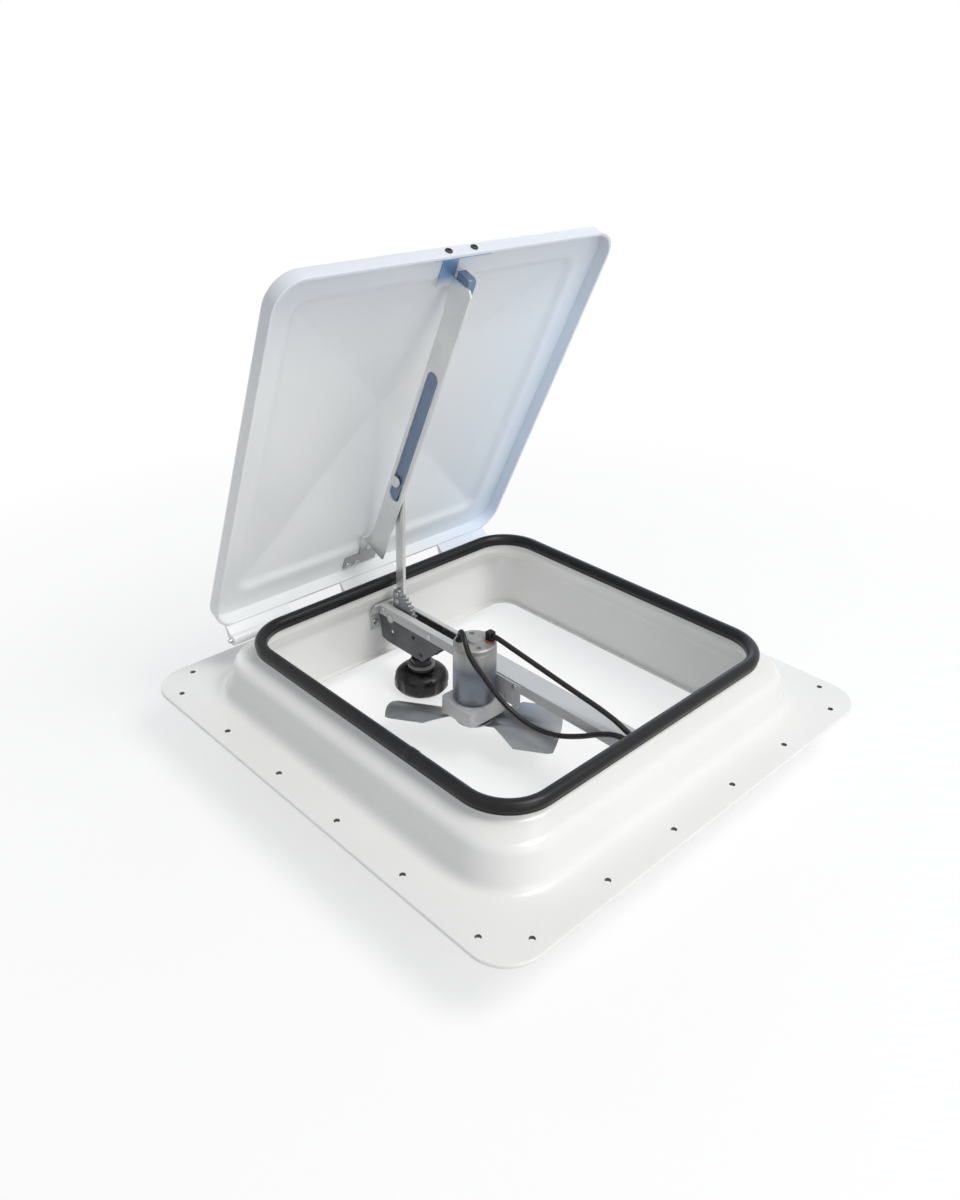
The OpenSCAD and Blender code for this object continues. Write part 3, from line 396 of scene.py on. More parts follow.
# PVC insulation: black with a clear highlight along the lead
LEAD_PVC = Finish(
    "PVC insulation extruded", "#0C0C0F", "#131317", drift=(12, 0.5), rough=(0.26, 0.36),
    grain=(2.0, 0.004), specular=0.35)
# Red-brown fibre washer that insulates a terminal: flat and dull as card
FIBRE = Finish(
    "Vulcanised fibre", "#9A563A", "#7E4630", drift=(3, 0.5), rough=(0.45, 0.55),
    grain=(0.5, 0.01))

NODE_FINISH: dict[str, Finish] = {
    "hinge_tabs": ZINC_STRIP, "hinge_pin": ZINC_PIN, "lid_rail": RAIL_STRIP,
    "lift_arm": ZINC_STRIP, "sector_gear": GEAR_STEEL, "slide_pin": ZINC_STRIP,
    "slide_bush": BLACK_NYLON, "arm_pivot_pin": ZINC_PIN, "cross_channel": STOVED_PAINT,
    "gear_bracket": BRACKET_SHEET, "knob_bush": GREY_NYLON, "worm": BRASS,
    "knob_shaft": ZINC_PIN, "knob": PHENOLIC, "knob_collar": GREY_NYLON,
    "knob_screw": ZINC_PIN, "motor_bracket": STOVED_PAINT, "motor_can": MOTOR_STEEL,
    "motor_cap": END_BELL, "motor_magnets": FERRITE, "motor_bearings": BRONZE,
    "armature": COPPER, "commutator": COPPER, "motor_shaft": ZINC_PIN, "fan_hub": BLADE_ALLOY,
    "fan_blades": BLADE_ALLOY, "fan_nut": ZINC_PIN, "motor_grommets": BOOT_RUBBER,
    "lead_gland": BOOT_RUBBER, "base_frame": WHITE_ABS, "rim_seal": EPDM, "lid": LID_ABS,
    "hinge_tab_screws": ZINC_PIN, "rail_front_screws": BLACK_SCREW,
    "rail_foot_rivets": ZINC_PIN, "arm_rivets": ZINC_PIN, "channel_screws": ZINC_PIN,
    "bracket_rivets": ZINC_PIN, "motor_bracket_rivets": ZINC_PIN,
}


def clear_selection() -> None:
    """Deselects everything, so that an operator acts only on what comes next."""
    if bpy.context.object and bpy.context.object.mode != "OBJECT":
        bpy.ops.object.mode_set(mode="OBJECT")
    bpy.ops.object.select_all(action="DESELECT")


def make_active(piece: Piece) -> None:
    """Selects one piece alone, so that an operator acts on it.

    Args:
        piece: the object to work on.
    """
    clear_selection()
    piece.select_set(True)
    bpy.context.view_layer.objects.active = piece


def settle(piece: Piece, place: Matrix | None = None) -> Piece:
    """Moves a piece and puts its place into its mesh.

    Args:
        piece: the mesh object.
        place: where the piece goes, in millimetres, or none to leave it.

    Returns:
        The same piece, with its object at the origin.
    """
    make_active(piece)
    if place is not None:
        to_metres, to_mm = Matrix.Scale(MM, 4), Matrix.Scale(1 / MM, 4)
        piece.matrix_world = to_metres @ place @ to_mm @ piece.matrix_world
    bpy.ops.object.transform_apply(location=True, rotation=True, scale=True)
    return piece


def join(pieces: Sequence[Piece], name: str) -> Piece:
    """Joins several meshes into one piece.

    Args:
        pieces: the meshes, of which the first one stays.
        name: the name of the joined piece.

    Returns:
        The joined piece.
    """
    clear_selection()
    for piece in pieces:
        piece.select_set(True)
    bpy.context.view_layer.objects.active = pieces[0]
    if len(pieces) > 1:
        bpy.ops.object.join()
    joined = bpy.context.view_layer.objects.active
    joined.name = joined.data.name = name
    return joined


class Melt(Enum):
    """How one mesh acts on another, with the way in which their finishes mix."""

    CUT = ("DIFFERENCE", "TRANSFER")
    FUSE = ("UNION", "INDEX")


def combine(piece: Piece, other: Piece, way: Melt) -> Piece:
    """Cuts one mesh out of another or fuses the two, and removes the second.

    Args:
        piece: the mesh that stays.
        other: the mesh that is cut out or fused in.
        way: whether it is cut or fused.

    Returns:
        The mesh that stayed.
    """
    make_active(piece)
    change = piece.modifiers.new("combine", "BOOLEAN")
    change.operation, change.material_mode = way.value
    change.solver = "EXACT"
    change.object = other
    bpy.ops.object.modifier_apply(modifier=change.name)
    bpy.data.objects.remove(other)
    return piece


def smooth(piece: Piece, angle: float) -> None:
    """Shades a piece smooth, apart from its sharp edges.

    Args:
        piece: the mesh object.
        angle: the turn from which an edge counts as sharp, in degrees.
    """
    make_active(piece)
    bpy.ops.object.shade_smooth_by_angle(angle=math.radians(angle))


def round_edges(
    piece: Piece, wanted: Callable[[bmesh.types.BMEdge], bool], width: float, facets: int
) -> None:
    """Rounds the edges of the active piece that pass a test.

    Args:
        piece: the active mesh object.
        wanted: tells whether an edge is rounded.
        width: width of the rounding, in millimetres.
        facets: number of facets across it.
    """
    bpy.ops.object.mode_set(mode="EDIT")
    bpy.ops.mesh.select_all(action="DESELECT")
    mesh = bmesh.from_edit_mesh(piece.data)
    for edge in mesh.edges:
        edge.select = wanted(edge)
    bmesh.update_edit_mesh(piece.data)
    bpy.ops.mesh.bevel(offset=width * MM, segments=facets, affect="EDGES")
    bpy.ops.object.mode_set(mode="OBJECT")


def face_outwards() -> None:
    """Turns every face of the mesh in edit mode outwards and leaves edit mode."""
    bpy.ops.mesh.select_all(action="SELECT")
    bpy.ops.mesh.normals_make_consistent(inside=False)
    bpy.ops.object.mode_set(mode="OBJECT")


def rod(radius: float, length: float, sides: int, bevel: float = 0.0) -> Piece:
    """Models a round bar along Z that starts at the origin, in millimetres.

    Args:
        radius: the bar's radius.
        length: the bar's length.
        sides: number of flats round it.
        bevel: width of the rounding on both ends.

    Returns:
        The bar.
    """
    clear_selection()
    bpy.ops.mesh.primitive_cylinder_add(
        vertices=sides, radius=radius * MM, depth=length * MM, location=(0, 0, length * MM / 2))
    bar = bpy.context.object
    if bevel:
        round_edges(
            bar, lambda edge: abs(edge.verts[0].co.z - edge.verts[1].co.z) < LEVEL, bevel,
            ROD_FACETS)
    return settle(bar)


def draw_panel(x: float, outline: Sequence[Pair]) -> Piece:
    """Draws a panel of four corners across X and leaves it in edit mode.

    Args:
        x: the panel's place along X, in millimetres.
        outline: Y and Z of its corners in turn, in millimetres.

    Returns:
        The panel.
    """
    clear_selection()
    bpy.ops.mesh.primitive_plane_add(size=MM)
    panel = bpy.context.object
    bpy.ops.object.mode_set(mode="EDIT")
    bpy.ops.mesh.select_mode(type="VERT")
    mesh = bmesh.from_edit_mesh(panel.data)
    in_turn = sorted(mesh.verts, key=lambda vert: math.atan2(vert.co.y, vert.co.x))
    for vert, (y, z) in zip(in_turn, outline):
        vert.co = Vector((x, y, z)) * MM
    bmesh.update_edit_mesh(panel.data)
    return panel


def at(point: Point, axis: Point) -> Matrix:
    """Gives the move that takes the origin to a point and turns +Z to an axis."""
    turn = Vector((0, 0, 1)).rotation_difference(Vector(axis))
    return Matrix.Translation(point) @ turn.to_matrix().to_4x4()


def lid_place() -> Matrix:
    """Gives the turn from the shut lid to the lid as it stands open."""
    pin = Matrix.Translation(HINGE)
    return pin @ Matrix.Rotation(math.radians(-LID_OPEN), 4, "X") @ pin.inverted()


@dataclass
class RingLoft:
    """A moulded shell drawn as rounded-square rings, one for each point of its section.

    The rings are bridged at an even spread and then moved to their own heights, because rings
    of one height don't pair up by themselves. A layer of the mesh holds each point's ring.
    """

    name: str
    corners: Sequence[Corner]
    loop: bool
    corner_steps: int = 14
    curve_steps: int = 5
    spread: float = 10.0
    layer: str = "ring"

    def section(self) -> list[Point]:
        """Rounds the section's corners.

        Returns:
            Half width, height and corner radius of each ring, in millimetres.
        """
        made: list[Point] = []
        count = len(self.corners)
        for k, (half, z, curve, radius) in enumerate(self.corners):
            here = Vector((half, z))
            if not curve:
                made.append((half, z, radius))
                continue
            before = Vector(self.corners[k - 1][:2])
            after = Vector(self.corners[(k + 1) % count][:2])
            start = here + (before - here).normalized() * curve
            stop = here + (after - here).normalized() * curve
            for i in range(self.curve_steps + 1):
                t = i / self.curve_steps
                p = (1 - t) ** 2 * start + 2 * t * (1 - t) * here + t * t * stop
                made.append((p.x, p.y, radius + p.x - half))
        return made

    def build(self) -> Piece:
        """Lays a bevelled plane for each ring and bridges each one to the next.

        Returns:
            The shell, closed on itself or capped at both ends.
        """
        clear_selection()
        bpy.ops.mesh.primitive_plane_add(size=MM)
        shell = bpy.context.object
        shell.name = shell.data.name = self.name
        bpy.ops.object.mode_set(mode="EDIT")
        bpy.ops.mesh.delete(type="VERT")
        bpy.ops.mesh.select_mode(type="VERT")
        bmesh.from_edit_mesh(shell.data).verts.layers.int.new(self.layer)
        rings = self.section()
        for k, (half, _, radius) in enumerate(rings, 1):
            bpy.ops.mesh.select_all(action="DESELECT")
            bpy.ops.mesh.primitive_plane_add(
                size=2 * half * MM, location=(0, 0, k * self.spread * MM))
            bpy.ops.mesh.bevel(
                offset=radius * MM, segments=self.corner_steps, affect="VERTICES",
                clamp_overlap=False)
            mesh = bmesh.from_edit_mesh(shell.data)
            mark = mesh.verts.layers.int[self.layer]
            for vert in mesh.verts:
                if vert[mark] == 0:
                    vert[mark] = k
                    vert.select_set(True)
            mesh.select_flush(True)
            bmesh.update_edit_mesh(shell.data)
            bpy.ops.mesh.delete(type="ONLY_FACE")
            if k > 1:
                self.bridge(shell, (k - 1, k))
        if self.loop:
            self.bridge(shell, (len(rings), 1))
        else:
            for k in (1, len(rings)):
                self.pick(shell, (k,))
                bpy.ops.mesh.edge_face_add()
        for k, (_, z, _) in enumerate(rings, 1):
            self.pick(shell, (k,))
            bpy.ops.transform.translate(value=(0, 0, (z - k * self.spread) * MM))
        face_outwards()
        shell.data.attributes.remove(shell.data.attributes[self.layer])
        return shell

    def pick(self, shell: Piece, rings: Iterable[int]) -> None:
        """Selects the edges of some rings and nothing else.

        Args:
            shell: the mesh in edit mode.
            rings: the rings' numbers.
        """
        bpy.ops.mesh.select_all(action="DESELECT")
        mesh = bmesh.from_edit_mesh(shell.data)
        mark = mesh.verts.layers.int[self.layer]
        wanted = set(rings)
        for edge in mesh.edges:
            a, b = edge.verts
            if a[mark] == b[mark] and a[mark] in wanted:
                edge.select_set(True)
        bmesh.update_edit_mesh(shell.data)

    def bridge(self, shell: Piece, rings: tuple[int, int]) -> None:
        """Joins two rings by a strip of faces."""
        self.pick(shell, rings)
        bpy.ops.mesh.bridge_edge_loops()


@dataclass
class BaseMoulding:
    """Screw flange, curb, neck and throat, moulded in one piece."""

    thickness: float = 3.0
    hole_radius: float = 2.4
    hole_pitch: float = 76.2
    hole_line: float = 215.3
    holes_a_side: int = 6
    drill_past: float = 2.0
    crease: float = 32.0
    corners: Sequence[Corner] = (
        (228.5, 0, 0.4, 32), (228.5, 3, 1.2, 32), (190, 3, 8, 47), (183, 34, 6, 44),
        (165, 42, 4, 41), (165, 50, 0.6, 41), (162.4, 50, 0.6, 38.4), (162.4, 38, 3, 38.4),
        (174, 18, 3, 22), (174, -34, 1.5, 22), (170, -34, 0.5, 18), (170, -36, 0.5, 18),
        (176.6, -36, 1.5, 24.6), (176.6, 28, 0, 24.6), (180.4, 28, 0, 41.4), (187.4, 0, 0, 44.4),
    )

    def build(self) -> Piece:
        """Models the moulding and drills the flange.

        Returns:
            The base moulding, riding on the base.
        """
        shell = RingLoft("base_moulding", self.corners, True).build()
        drills = []
        for side in range(4):
            turn = Matrix.Rotation(math.radians(90 * side), 4, "Z")
            for i in range(self.holes_a_side):
                along = (i - (self.holes_a_side - 1) / 2) * self.hole_pitch
                place = Matrix.Translation((self.hole_line, along, -self.drill_past))
                drill = rod(self.hole_radius, self.thickness + 2 * self.drill_past, DRILL_SIDES)
                drills.append(settle(drill, turn @ place))
        cutter = join(drills, "flange_drills")
        WHITE_ABS.dress(shell)
        # The hole walls take the dark painted shade through the cut
        HOLE_WALL_PAINTED_SHADE.dress(cutter)
        combine(shell, cutter, Melt.CUT)
        smooth(shell, self.crease)
        return self.dress(shell)

    def dress(self, shell: Piece) -> Piece:
        """Puts the moulding in the CAD moulding's place."""
        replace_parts(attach(shell, "base"), "base_frame")
        return shell


@dataclass
class RimSeal:
    """Rubber bulb trim pushed over the lip of the neck, with its butt joint.

    The wrap gives the angle at which the bulb starts and how far it goes round.
    """

    middle: float = 163.7
    bulb: float = 5.5
    bulb_z: float = 51.6
    wrap: Pair = (-24.0, 228.0)
    foot_z: float = 46.4
    foot_tuck: float = 0.6
    foot_chamfer: float = 0.8
    lip: Pair = (162.3, 165.1)
    lip_z: float = 50.0
    corner: float = 39.7
    corner_steps: int = 20
    steps: int = 28
    joint_y: float = -65.0
    joint_length: float = 8.0
    joint_proud: float = 0.45
    joint_bevel: float = 0.5
    joint_clear: float = 0.2
    crease: float = 40.0

    def ring(self, half: float, z: float) -> Corner:
        """Gives a ring whose corner follows the neck."""
        return half, z, 0.0, self.corner + half - self.middle

    def build(self) -> list[Piece]:
        """Models the trim and the sleeve over its joint.

        Returns:
            The trim and the sleeve, riding on the base.
        """
        start, sweep = self.wrap
        bulb = [
            self.ring(self.middle + self.bulb * math.cos(a), self.bulb_z + self.bulb * math.sin(a))
            for a in (math.radians(start + sweep * i / self.steps) for i in range(self.steps + 1))
        ]
        reach = self.bulb - self.foot_tuck
        near, far = self.middle - reach, self.middle + reach
        low, high = self.foot_z, self.foot_z + self.foot_chamfer
        inner, outer = self.lip
        legs = [
            self.ring(half, z) for half, z in (
                (near, high), (near + self.foot_chamfer, low), (inner, low), (inner, self.lip_z),
                (outer, self.lip_z), (outer, low), (far - self.foot_chamfer, low), (far, high))
        ]
        trim = RingLoft("seal_trim", bulb + legs, True, corner_steps=self.corner_steps).build()
        smooth(trim, self.crease)
        EPDM.dress(trim)
        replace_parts(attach(trim, "base"), "rim_seal")
        return [trim, self.joint()]

    def joint(self) -> Piece:
        """Models the sleeve over the place where the two ends of the trim meet.

        Returns:
            The sleeve, riding on the base.
        """
        sleeve = rod(
            self.bulb + self.joint_proud, self.joint_length, TUBE_SIDES, self.joint_bevel)
        start = (-self.middle, self.joint_y - self.joint_length / 2, self.bulb_z)
        settle(sleeve, at(start, (0, 1, 0)))
        bpy.ops.object.mode_set(mode="EDIT")
        bpy.ops.mesh.select_all(action="SELECT")
        bpy.ops.mesh.bisect(
            plane_co=(0, 0, (self.lip_z + self.joint_clear) * MM), plane_no=(0, 0, 1),
            use_fill=True, clear_inner=True)
        bpy.ops.object.mode_set(mode="OBJECT")
        sleeve.name = sleeve.data.name = "seal_joint"
        smooth(sleeve, self.crease)
        EPDM.dress(sleeve)
        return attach(sleeve, "base")


@dataclass
class LidMoulding:
    """Pyramid lid with its skirt and three hinge barrels.

    The lug's root gives how deep its two upper corners lie in the skirt, and its foot gives the
    two lower corners from the hinge's axis.
    """

    corners: Sequence[Corner] = (
        (4, 95.2, 0, 1), (141.5, 64.2, 4, 10), (147.5, 59.2, 4, 16), (171.5, 59.2, 0, 22.5),
        (171.5, 47.1, 0.4, 22.5), (174, 47.1, 0.6, 25), (174, 61.7, 5, 25), (147.5, 61.7, 4, 16),
        (141.5, 66.7, 4, 10), (4, 97.7, 0, 1),
    )
    stretch: float = 360 / 348
    middle_y: float = 4.0
    back_y: float = 184.0
    skirt_z: float = 47.1
    barrel_radius: float = 5.2
    barrel_length: float = 66.0
    barrel_pitch: float = 128.0
    barrel_bevel: float = 0.6
    lug_root: Pair = (2.0, 0.1)
    lug_rise: float = 3.0
    lug_foot: Sequence[Pair] = ((4.0, 3.0), (-4.4, 2.5))
    pin_radius: float = 2.06
    bore_length: float = 400.0
    drill_radius: float = 1.7
    drill_length: float = 7.0
    drill_past: float = 2.0
    drill_z: float = 57.0
    crease: float = 24.0

    def barrel(self, middle: float) -> Piece:
        """Models one hinge barrel and the lug that carries it.

        Args:
            middle: the barrel's place along the hinge.

        Returns:
            The barrel on its lug.
        """
        _, y, z = HINGE
        x = middle - self.barrel_length / 2
        tube = rod(self.barrel_radius, self.barrel_length, TUBE_SIDES, self.barrel_bevel)
        settle(tube, at((x, y, z), (1, 0, 0)))
        top = self.skirt_z + self.lug_rise
        outline = [(self.back_y - depth, top) for depth in self.lug_root]
        outline += [(y + out, z + up) for out, up in self.lug_foot]
        lug = draw_panel(x, outline)
        bpy.ops.mesh.select_all(action="SELECT")
        bpy.ops.mesh.extrude_region_move(
            TRANSFORM_OT_translate={"value": (self.barrel_length * MM, 0, 0)})
        face_outwards()
        return combine(lug, tube, Melt.FUSE)

    def drills(self) -> Piece:
        """Lays the bores for the hinge pin and for the rail's screws and rivets.

        Returns:
            The bores as one cutter.
        """
        pin = rod(self.pin_radius, self.bore_length, BORE_SIDES)
        start = (-self.bore_length / 2, HINGE[1], HINGE[2])
        bores = [settle(pin, at(start, (1, 0, 0)))]
        places = [
            ((x, LID_FRONT_Y - self.drill_past, RAIL_SCREW_Z), (0, 1, 0)) for x in RAIL_SCREW_X]
        places += [((x, RAIL_RIVET_Y, self.drill_z), (0, 0, 1)) for x in RAIL_RIVET_X]
        for point, axis in places:
            drill = rod(self.drill_radius, self.drill_length, DRILL_SIDES)
            bores.append(settle(drill, at(point, axis)))
        return join(bores, "lid_drills")

    def build(self) -> Piece:
        """Models the lid shut, bores it, and turns it open.

        Returns:
            The lid moulding, riding on the lid.
        """
        shell = RingLoft("lid_moulding", self.corners, False).build()
        longer = Matrix.Diagonal((1, self.stretch, 1, 1))
        settle(shell, Matrix.Translation((0, self.middle_y, 0)) @ longer)
        for i in (-1, 0, 1):
            combine(shell, self.barrel(i * self.barrel_pitch), Melt.FUSE)
        combine(shell, self.drills(), Melt.CUT)
        settle(shell, lid_place())
        smooth(shell, self.crease)
        return self.dress(shell)

    def dress(self, shell: Piece) -> Piece:
        """Gives the lid its cooler white, with painted blue sky light on its right side and
        painted shade at its top, and puts it in the CAD lid's place.

        Args:
            shell: the lid moulding.

        Returns:
            The same moulding, riding on the lid.
        """
        LID_ABS.dress(shell)
        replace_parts(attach(shell, "lid"), "lid")
        return shell


@dataclass
class RailBack:
    """Far wall and web that make the slotted rail a channel round the end of the arm.

    Its inside face is coloured slate blue as painted shade with a painted blue reflection, and its
    outer face is bright zinc as the rail is. A point counts as being on the sheet's upper or lower
    edge when it is within the margin of it.
    """

    near_x: float = 0.8
    far_x: float = 8.5
    wall: float = 1.4
    web_z: float = 55.4
    low_z: float = 41.5
    back_y: float = 128.0
    front_y: float = -155.0
    corner: float = 3.0
    corner_steps: int = 4
    margin: float = 1.0
    crease: float = 30.0

    def build(self) -> Piece:
        """Folds the sheet from one plane and turns it with the lid.

        Returns:
            The far wall with its web, riding on the lid.
        """
        x = self.far_x - self.wall / 2
        top = self.web_z - self.wall / 2
        sheet = draw_panel(x, (
            (self.front_y, self.low_z), (self.back_y, self.low_z),
            (self.back_y, top), (self.front_y, top)))
        sheet.name = sheet.data.name = "rail_far_wall"
        mesh = bmesh.from_edit_mesh(sheet.data)
        for edge in mesh.edges:
            edge.select_set(all(vert.co.z > (top - self.margin) * MM for vert in edge.verts))
        bmesh.update_edit_mesh(sheet.data)
        bpy.ops.mesh.extrude_region_move(
            TRANSFORM_OT_translate={"value": ((self.near_x - x) * MM, 0, 0)})
        bpy.ops.mesh.select_all(action="DESELECT")
        mesh = bmesh.from_edit_mesh(sheet.data)
        for vert in mesh.verts:
            vert.select_set(vert.co.z < (self.low_z + self.margin) * MM)
        bmesh.update_edit_mesh(sheet.data)
        bpy.ops.mesh.bevel(
            offset=self.corner * MM, segments=self.corner_steps, affect="VERTICES")
        face_outwards()
        gauge = sheet.modifiers.new("gauge", "SOLIDIFY")
        gauge.thickness = self.wall * MM
        gauge.offset = 0
        bpy.ops.object.modifier_apply(modifier=gauge.name)
        # Inside faces get the slate-blue painted shade and reflection; the outer face, index 1,
        # stays bright zinc
        RAIL_INSIDE_PAINTED_SHADE.dress(sheet)
        sheet.data.materials.append(ZINC_STRIP.make())
        for face in sheet.data.polygons:
            if face.center.x > (self.far_x - self.wall / 4) * MM:
                face.material_index = 1
        settle(sheet, lid_place())
        smooth(sheet, self.crease)
        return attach(sheet, "lid")


@dataclass
class TerminalWasher:
    """Insulating washer under the boot of the far lead."""

    place: Point = (-23.0, -3.0, 65.5)
    radius: float = 4.7
    height: float = 1.4
    sides: int = 28
    bevel: float = 0.4
    crease: float = 30.0

    def build(self) -> Piece:
        """Models the washer on the end bell.

        Returns:
            The washer, riding on the base.
        """
        washer = rod(self.radius, self.height, self.sides, self.bevel)
        settle(washer, Matrix.Translation(self.place))
        washer.name = washer.data.name = "terminal_washer"
        smooth(washer, self.crease)
        FIBRE.dress(washer)
        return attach(washer, "base")


class Head(Enum):
    """Kinds of fastener head."""

    CROSS = "cross recess"
    RIVET = "blind rivet"


@dataclass(frozen=True)
class Fixing:
    """One size of screw or rivet, in millimetres.

    The shares give the dome, the dimple and the cross recess as parts of the head's height and
    radius. Those of the cross are its length, width and depth.
    """

    kind: Head
    radius: float
    height: float
    shank: float
    dome_share: float = 0.55
    dimple_share: float = 0.32
    floor_share: float = 0.55
    cross_shares: Point = (1.25, 0.3, 1.1)
    dimple_length: float = 2.0
    dimple_sides: int = 16

    def model(self, length: float) -> Piece:
        """Models one fastener with its head on +Z.

        Args:
            length: the shank's length.

        Returns:
            The fastener at the origin.
        """
        head = rod(self.radius, self.height, HEAD_SIDES)
        middle = self.height * MM / 2
        round_edges(
            head, lambda edge: min(vert.co.z for vert in edge.verts) > middle,
            self.dome_share * self.height, HEAD_FACETS)
        combine(head, self.recess(), Melt.CUT)
        stem = rod(self.shank, length, SHANK_SIDES)
        settle(stem, Matrix.Translation((0, 0, -length)))
        return join([head, stem], "fixing")

    def recess(self) -> Piece:
        """Models the driver's cross or the rivet's dimple.

        Returns:
            The cutter for the recess.
        """
        if self.kind is Head.RIVET:
            dimple = rod(self.dimple_share * self.radius, self.dimple_length, self.dimple_sides)
            return settle(dimple, Matrix.Translation((0, 0, self.floor_share * self.height)))
        length, width, depth = self.cross_shares
        bars = []
        for x, y in ((length, width), (width, length)):
            clear_selection()
            bpy.ops.mesh.primitive_cube_add(size=MM, location=(0, 0, self.height * MM))
            bar = bpy.context.object
            bar.scale = (x * self.radius, y * self.radius, depth * self.height)
            bars.append(settle(bar))
        return combine(bars[0], bars[1], Melt.FUSE)


SKIRT_SCREW = Fixing(Head.CROSS, radius=3.0, height=1.4, shank=1.6)
FOOT_RIVET = Fixing(Head.RIVET, radius=3.0, height=1.4, shank=1.6)
CHANNEL_SCREW = Fixing(Head.CROSS, radius=3.75, height=2.2, shank=1.9)
WEB_RIVET = Fixing(Head.RIVET, radius=2.9, height=1.1, shank=1.6)
ARM_RIVET = Fixing(Head.RIVET, radius=2.8, height=1.0, shank=1.6)


@dataclass
class FastenerSet:
    """Copies of one fastener at each of its places.

    A place is a point under the head and the way the head points, in millimetres.
    """

    name: str
    node: str
    body: str
    fixing: Fixing
    length: float
    places: Sequence[tuple[Point, Point]]
    before: Matrix = field(default_factory=Matrix)
    slot: str = "zinc_steel"
    finish: Finish = ZINC_PIN
    crease: float = 30.0

    def build(self) -> Piece:
        """Copies the fastener to every place and joins the copies.

        Returns:
            The fasteners as one piece, riding on their body.
        """
        master = self.fixing.model(self.length)
        copies = []
        for point, axis in self.places:
            copy = master.copy()
            copy.data = master.data.copy()
            bpy.context.scene.collection.objects.link(copy)
            copies.append(settle(copy, self.before @ at(point, axis)))
        bpy.data.objects.remove(master)
        made = join(copies, self.name)
        smooth(made, self.crease)
        self.finish.dress(made)
        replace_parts(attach(made, self.body), self.node)
        return made


@dataclass
class MotorLead:
    """One insulated lead from the motor's end bell to the gland on the channel."""

    name: str
    node: str
    route: Sequence[Point]
    diameter: float = 4.6
    steps: int = 6
    facets: int = 5

    def path(self) -> list[Vector]:
        """Runs a smooth curve through the route.

        Returns:
            The lead's centre line, in metres.
        """
        points = [Vector(p) * MM for p in self.route]
        last = len(points) - 1
        line = []
        for k in range(last):
            a, b = points[max(k - 1, 0)], points[k]
            c, d = points[k + 1], points[min(k + 2, last)]
            for i in range(self.steps):
                t = i / self.steps
                line.append(0.5 * (
                    2 * b + (c - a) * t + (2 * a - 5 * b + 4 * c - d) * t * t
                    + (3 * b - a - 3 * c + d) * t ** 3))
        line.append(points[last])
        return line

    def build(self) -> Piece:
        """Draws the lead as one round curve.

        Returns:
            The lead, riding on the base in the CAD lead's place.
        """
        line = self.path()
        curve = bpy.data.curves.new(self.name, "CURVE")
        curve.dimensions = "3D"
        curve.bevel_depth = self.diameter / 2 * MM
        curve.bevel_resolution = self.facets
        curve.use_fill_caps = True
        spline = curve.splines.new("POLY")
        spline.points.add(len(line) - 1)
        for point, place in zip(spline.points, line):
            point.co = (*place, 1)
        spline.use_smooth = True
        lead = bpy.data.objects.new(self.name, curve)
        bpy.context.scene.collection.objects.link(lead)
        LEAD_PVC.dress(lead)
        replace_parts(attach(lead, "base"), self.node)
        return lead


NEAR_ROUTE: tuple[Point, ...] = (
    (-42, 15, 68.5), (-42.5, 14, 73), (-44.5, 10.5, 77), (-47, 6, 78.2), (-49.3, 1.5, 76),
    (-51, -3, 71), (-51.3, -7.5, 64), (-49.3, -12, 56), (-45.5, -17.5, 46.5), (-41.5, -24, 36),
    (-38, -32, 26.5), (-34.5, -43, 18), (-30.5, -57, 11.2), (-26.5, -71, 8.6), (-22, -86, 10),
    (-17.5, -104, 17), (-14.8, -123, 28), (-11.6, -136, 32), (-9.3, -152, 32),
)
FAR_ROUTE: tuple[Point, ...] = (
    (-23, -6.3, 71.5), (-22.6, -11, 71.3), (-21.3, -19, 69.2), (-19.7, -28, 66.5),
    (-17, -42, 62.2), (-14.2, -58, 57.6), (-11.6, -75, 53), (-9.2, -93, 48.6), (-7, -111, 44.5),
    (-5.2, -128, 39.6), (-4.4, -141, 34.5), (-4.2, -152, 32),
)


@dataclass(frozen=True)
class SoftBox:
    """A square lamp, with its place and side in metres."""

    name: str
    place: Point
    side: float
    watts: float
    colour: str

    def hang(self, aim: Point) -> None:
        """Hangs the lamp so that it faces a point.

        Args:
            aim: the point, in metres.
        """
        data = bpy.data.lights.new(self.name, "AREA")
        data.size = self.side
        data.energy = self.watts
        data.color = linear(self.colour)[:3]
        box = bpy.data.objects.new(self.name, data)
        bpy.context.scene.collection.objects.link(box)
        box.location = self.place
        facing = Vector(aim) - Vector(self.place)
        box.rotation_euler = facing.to_track_quat("-Z", "Y").to_euler()


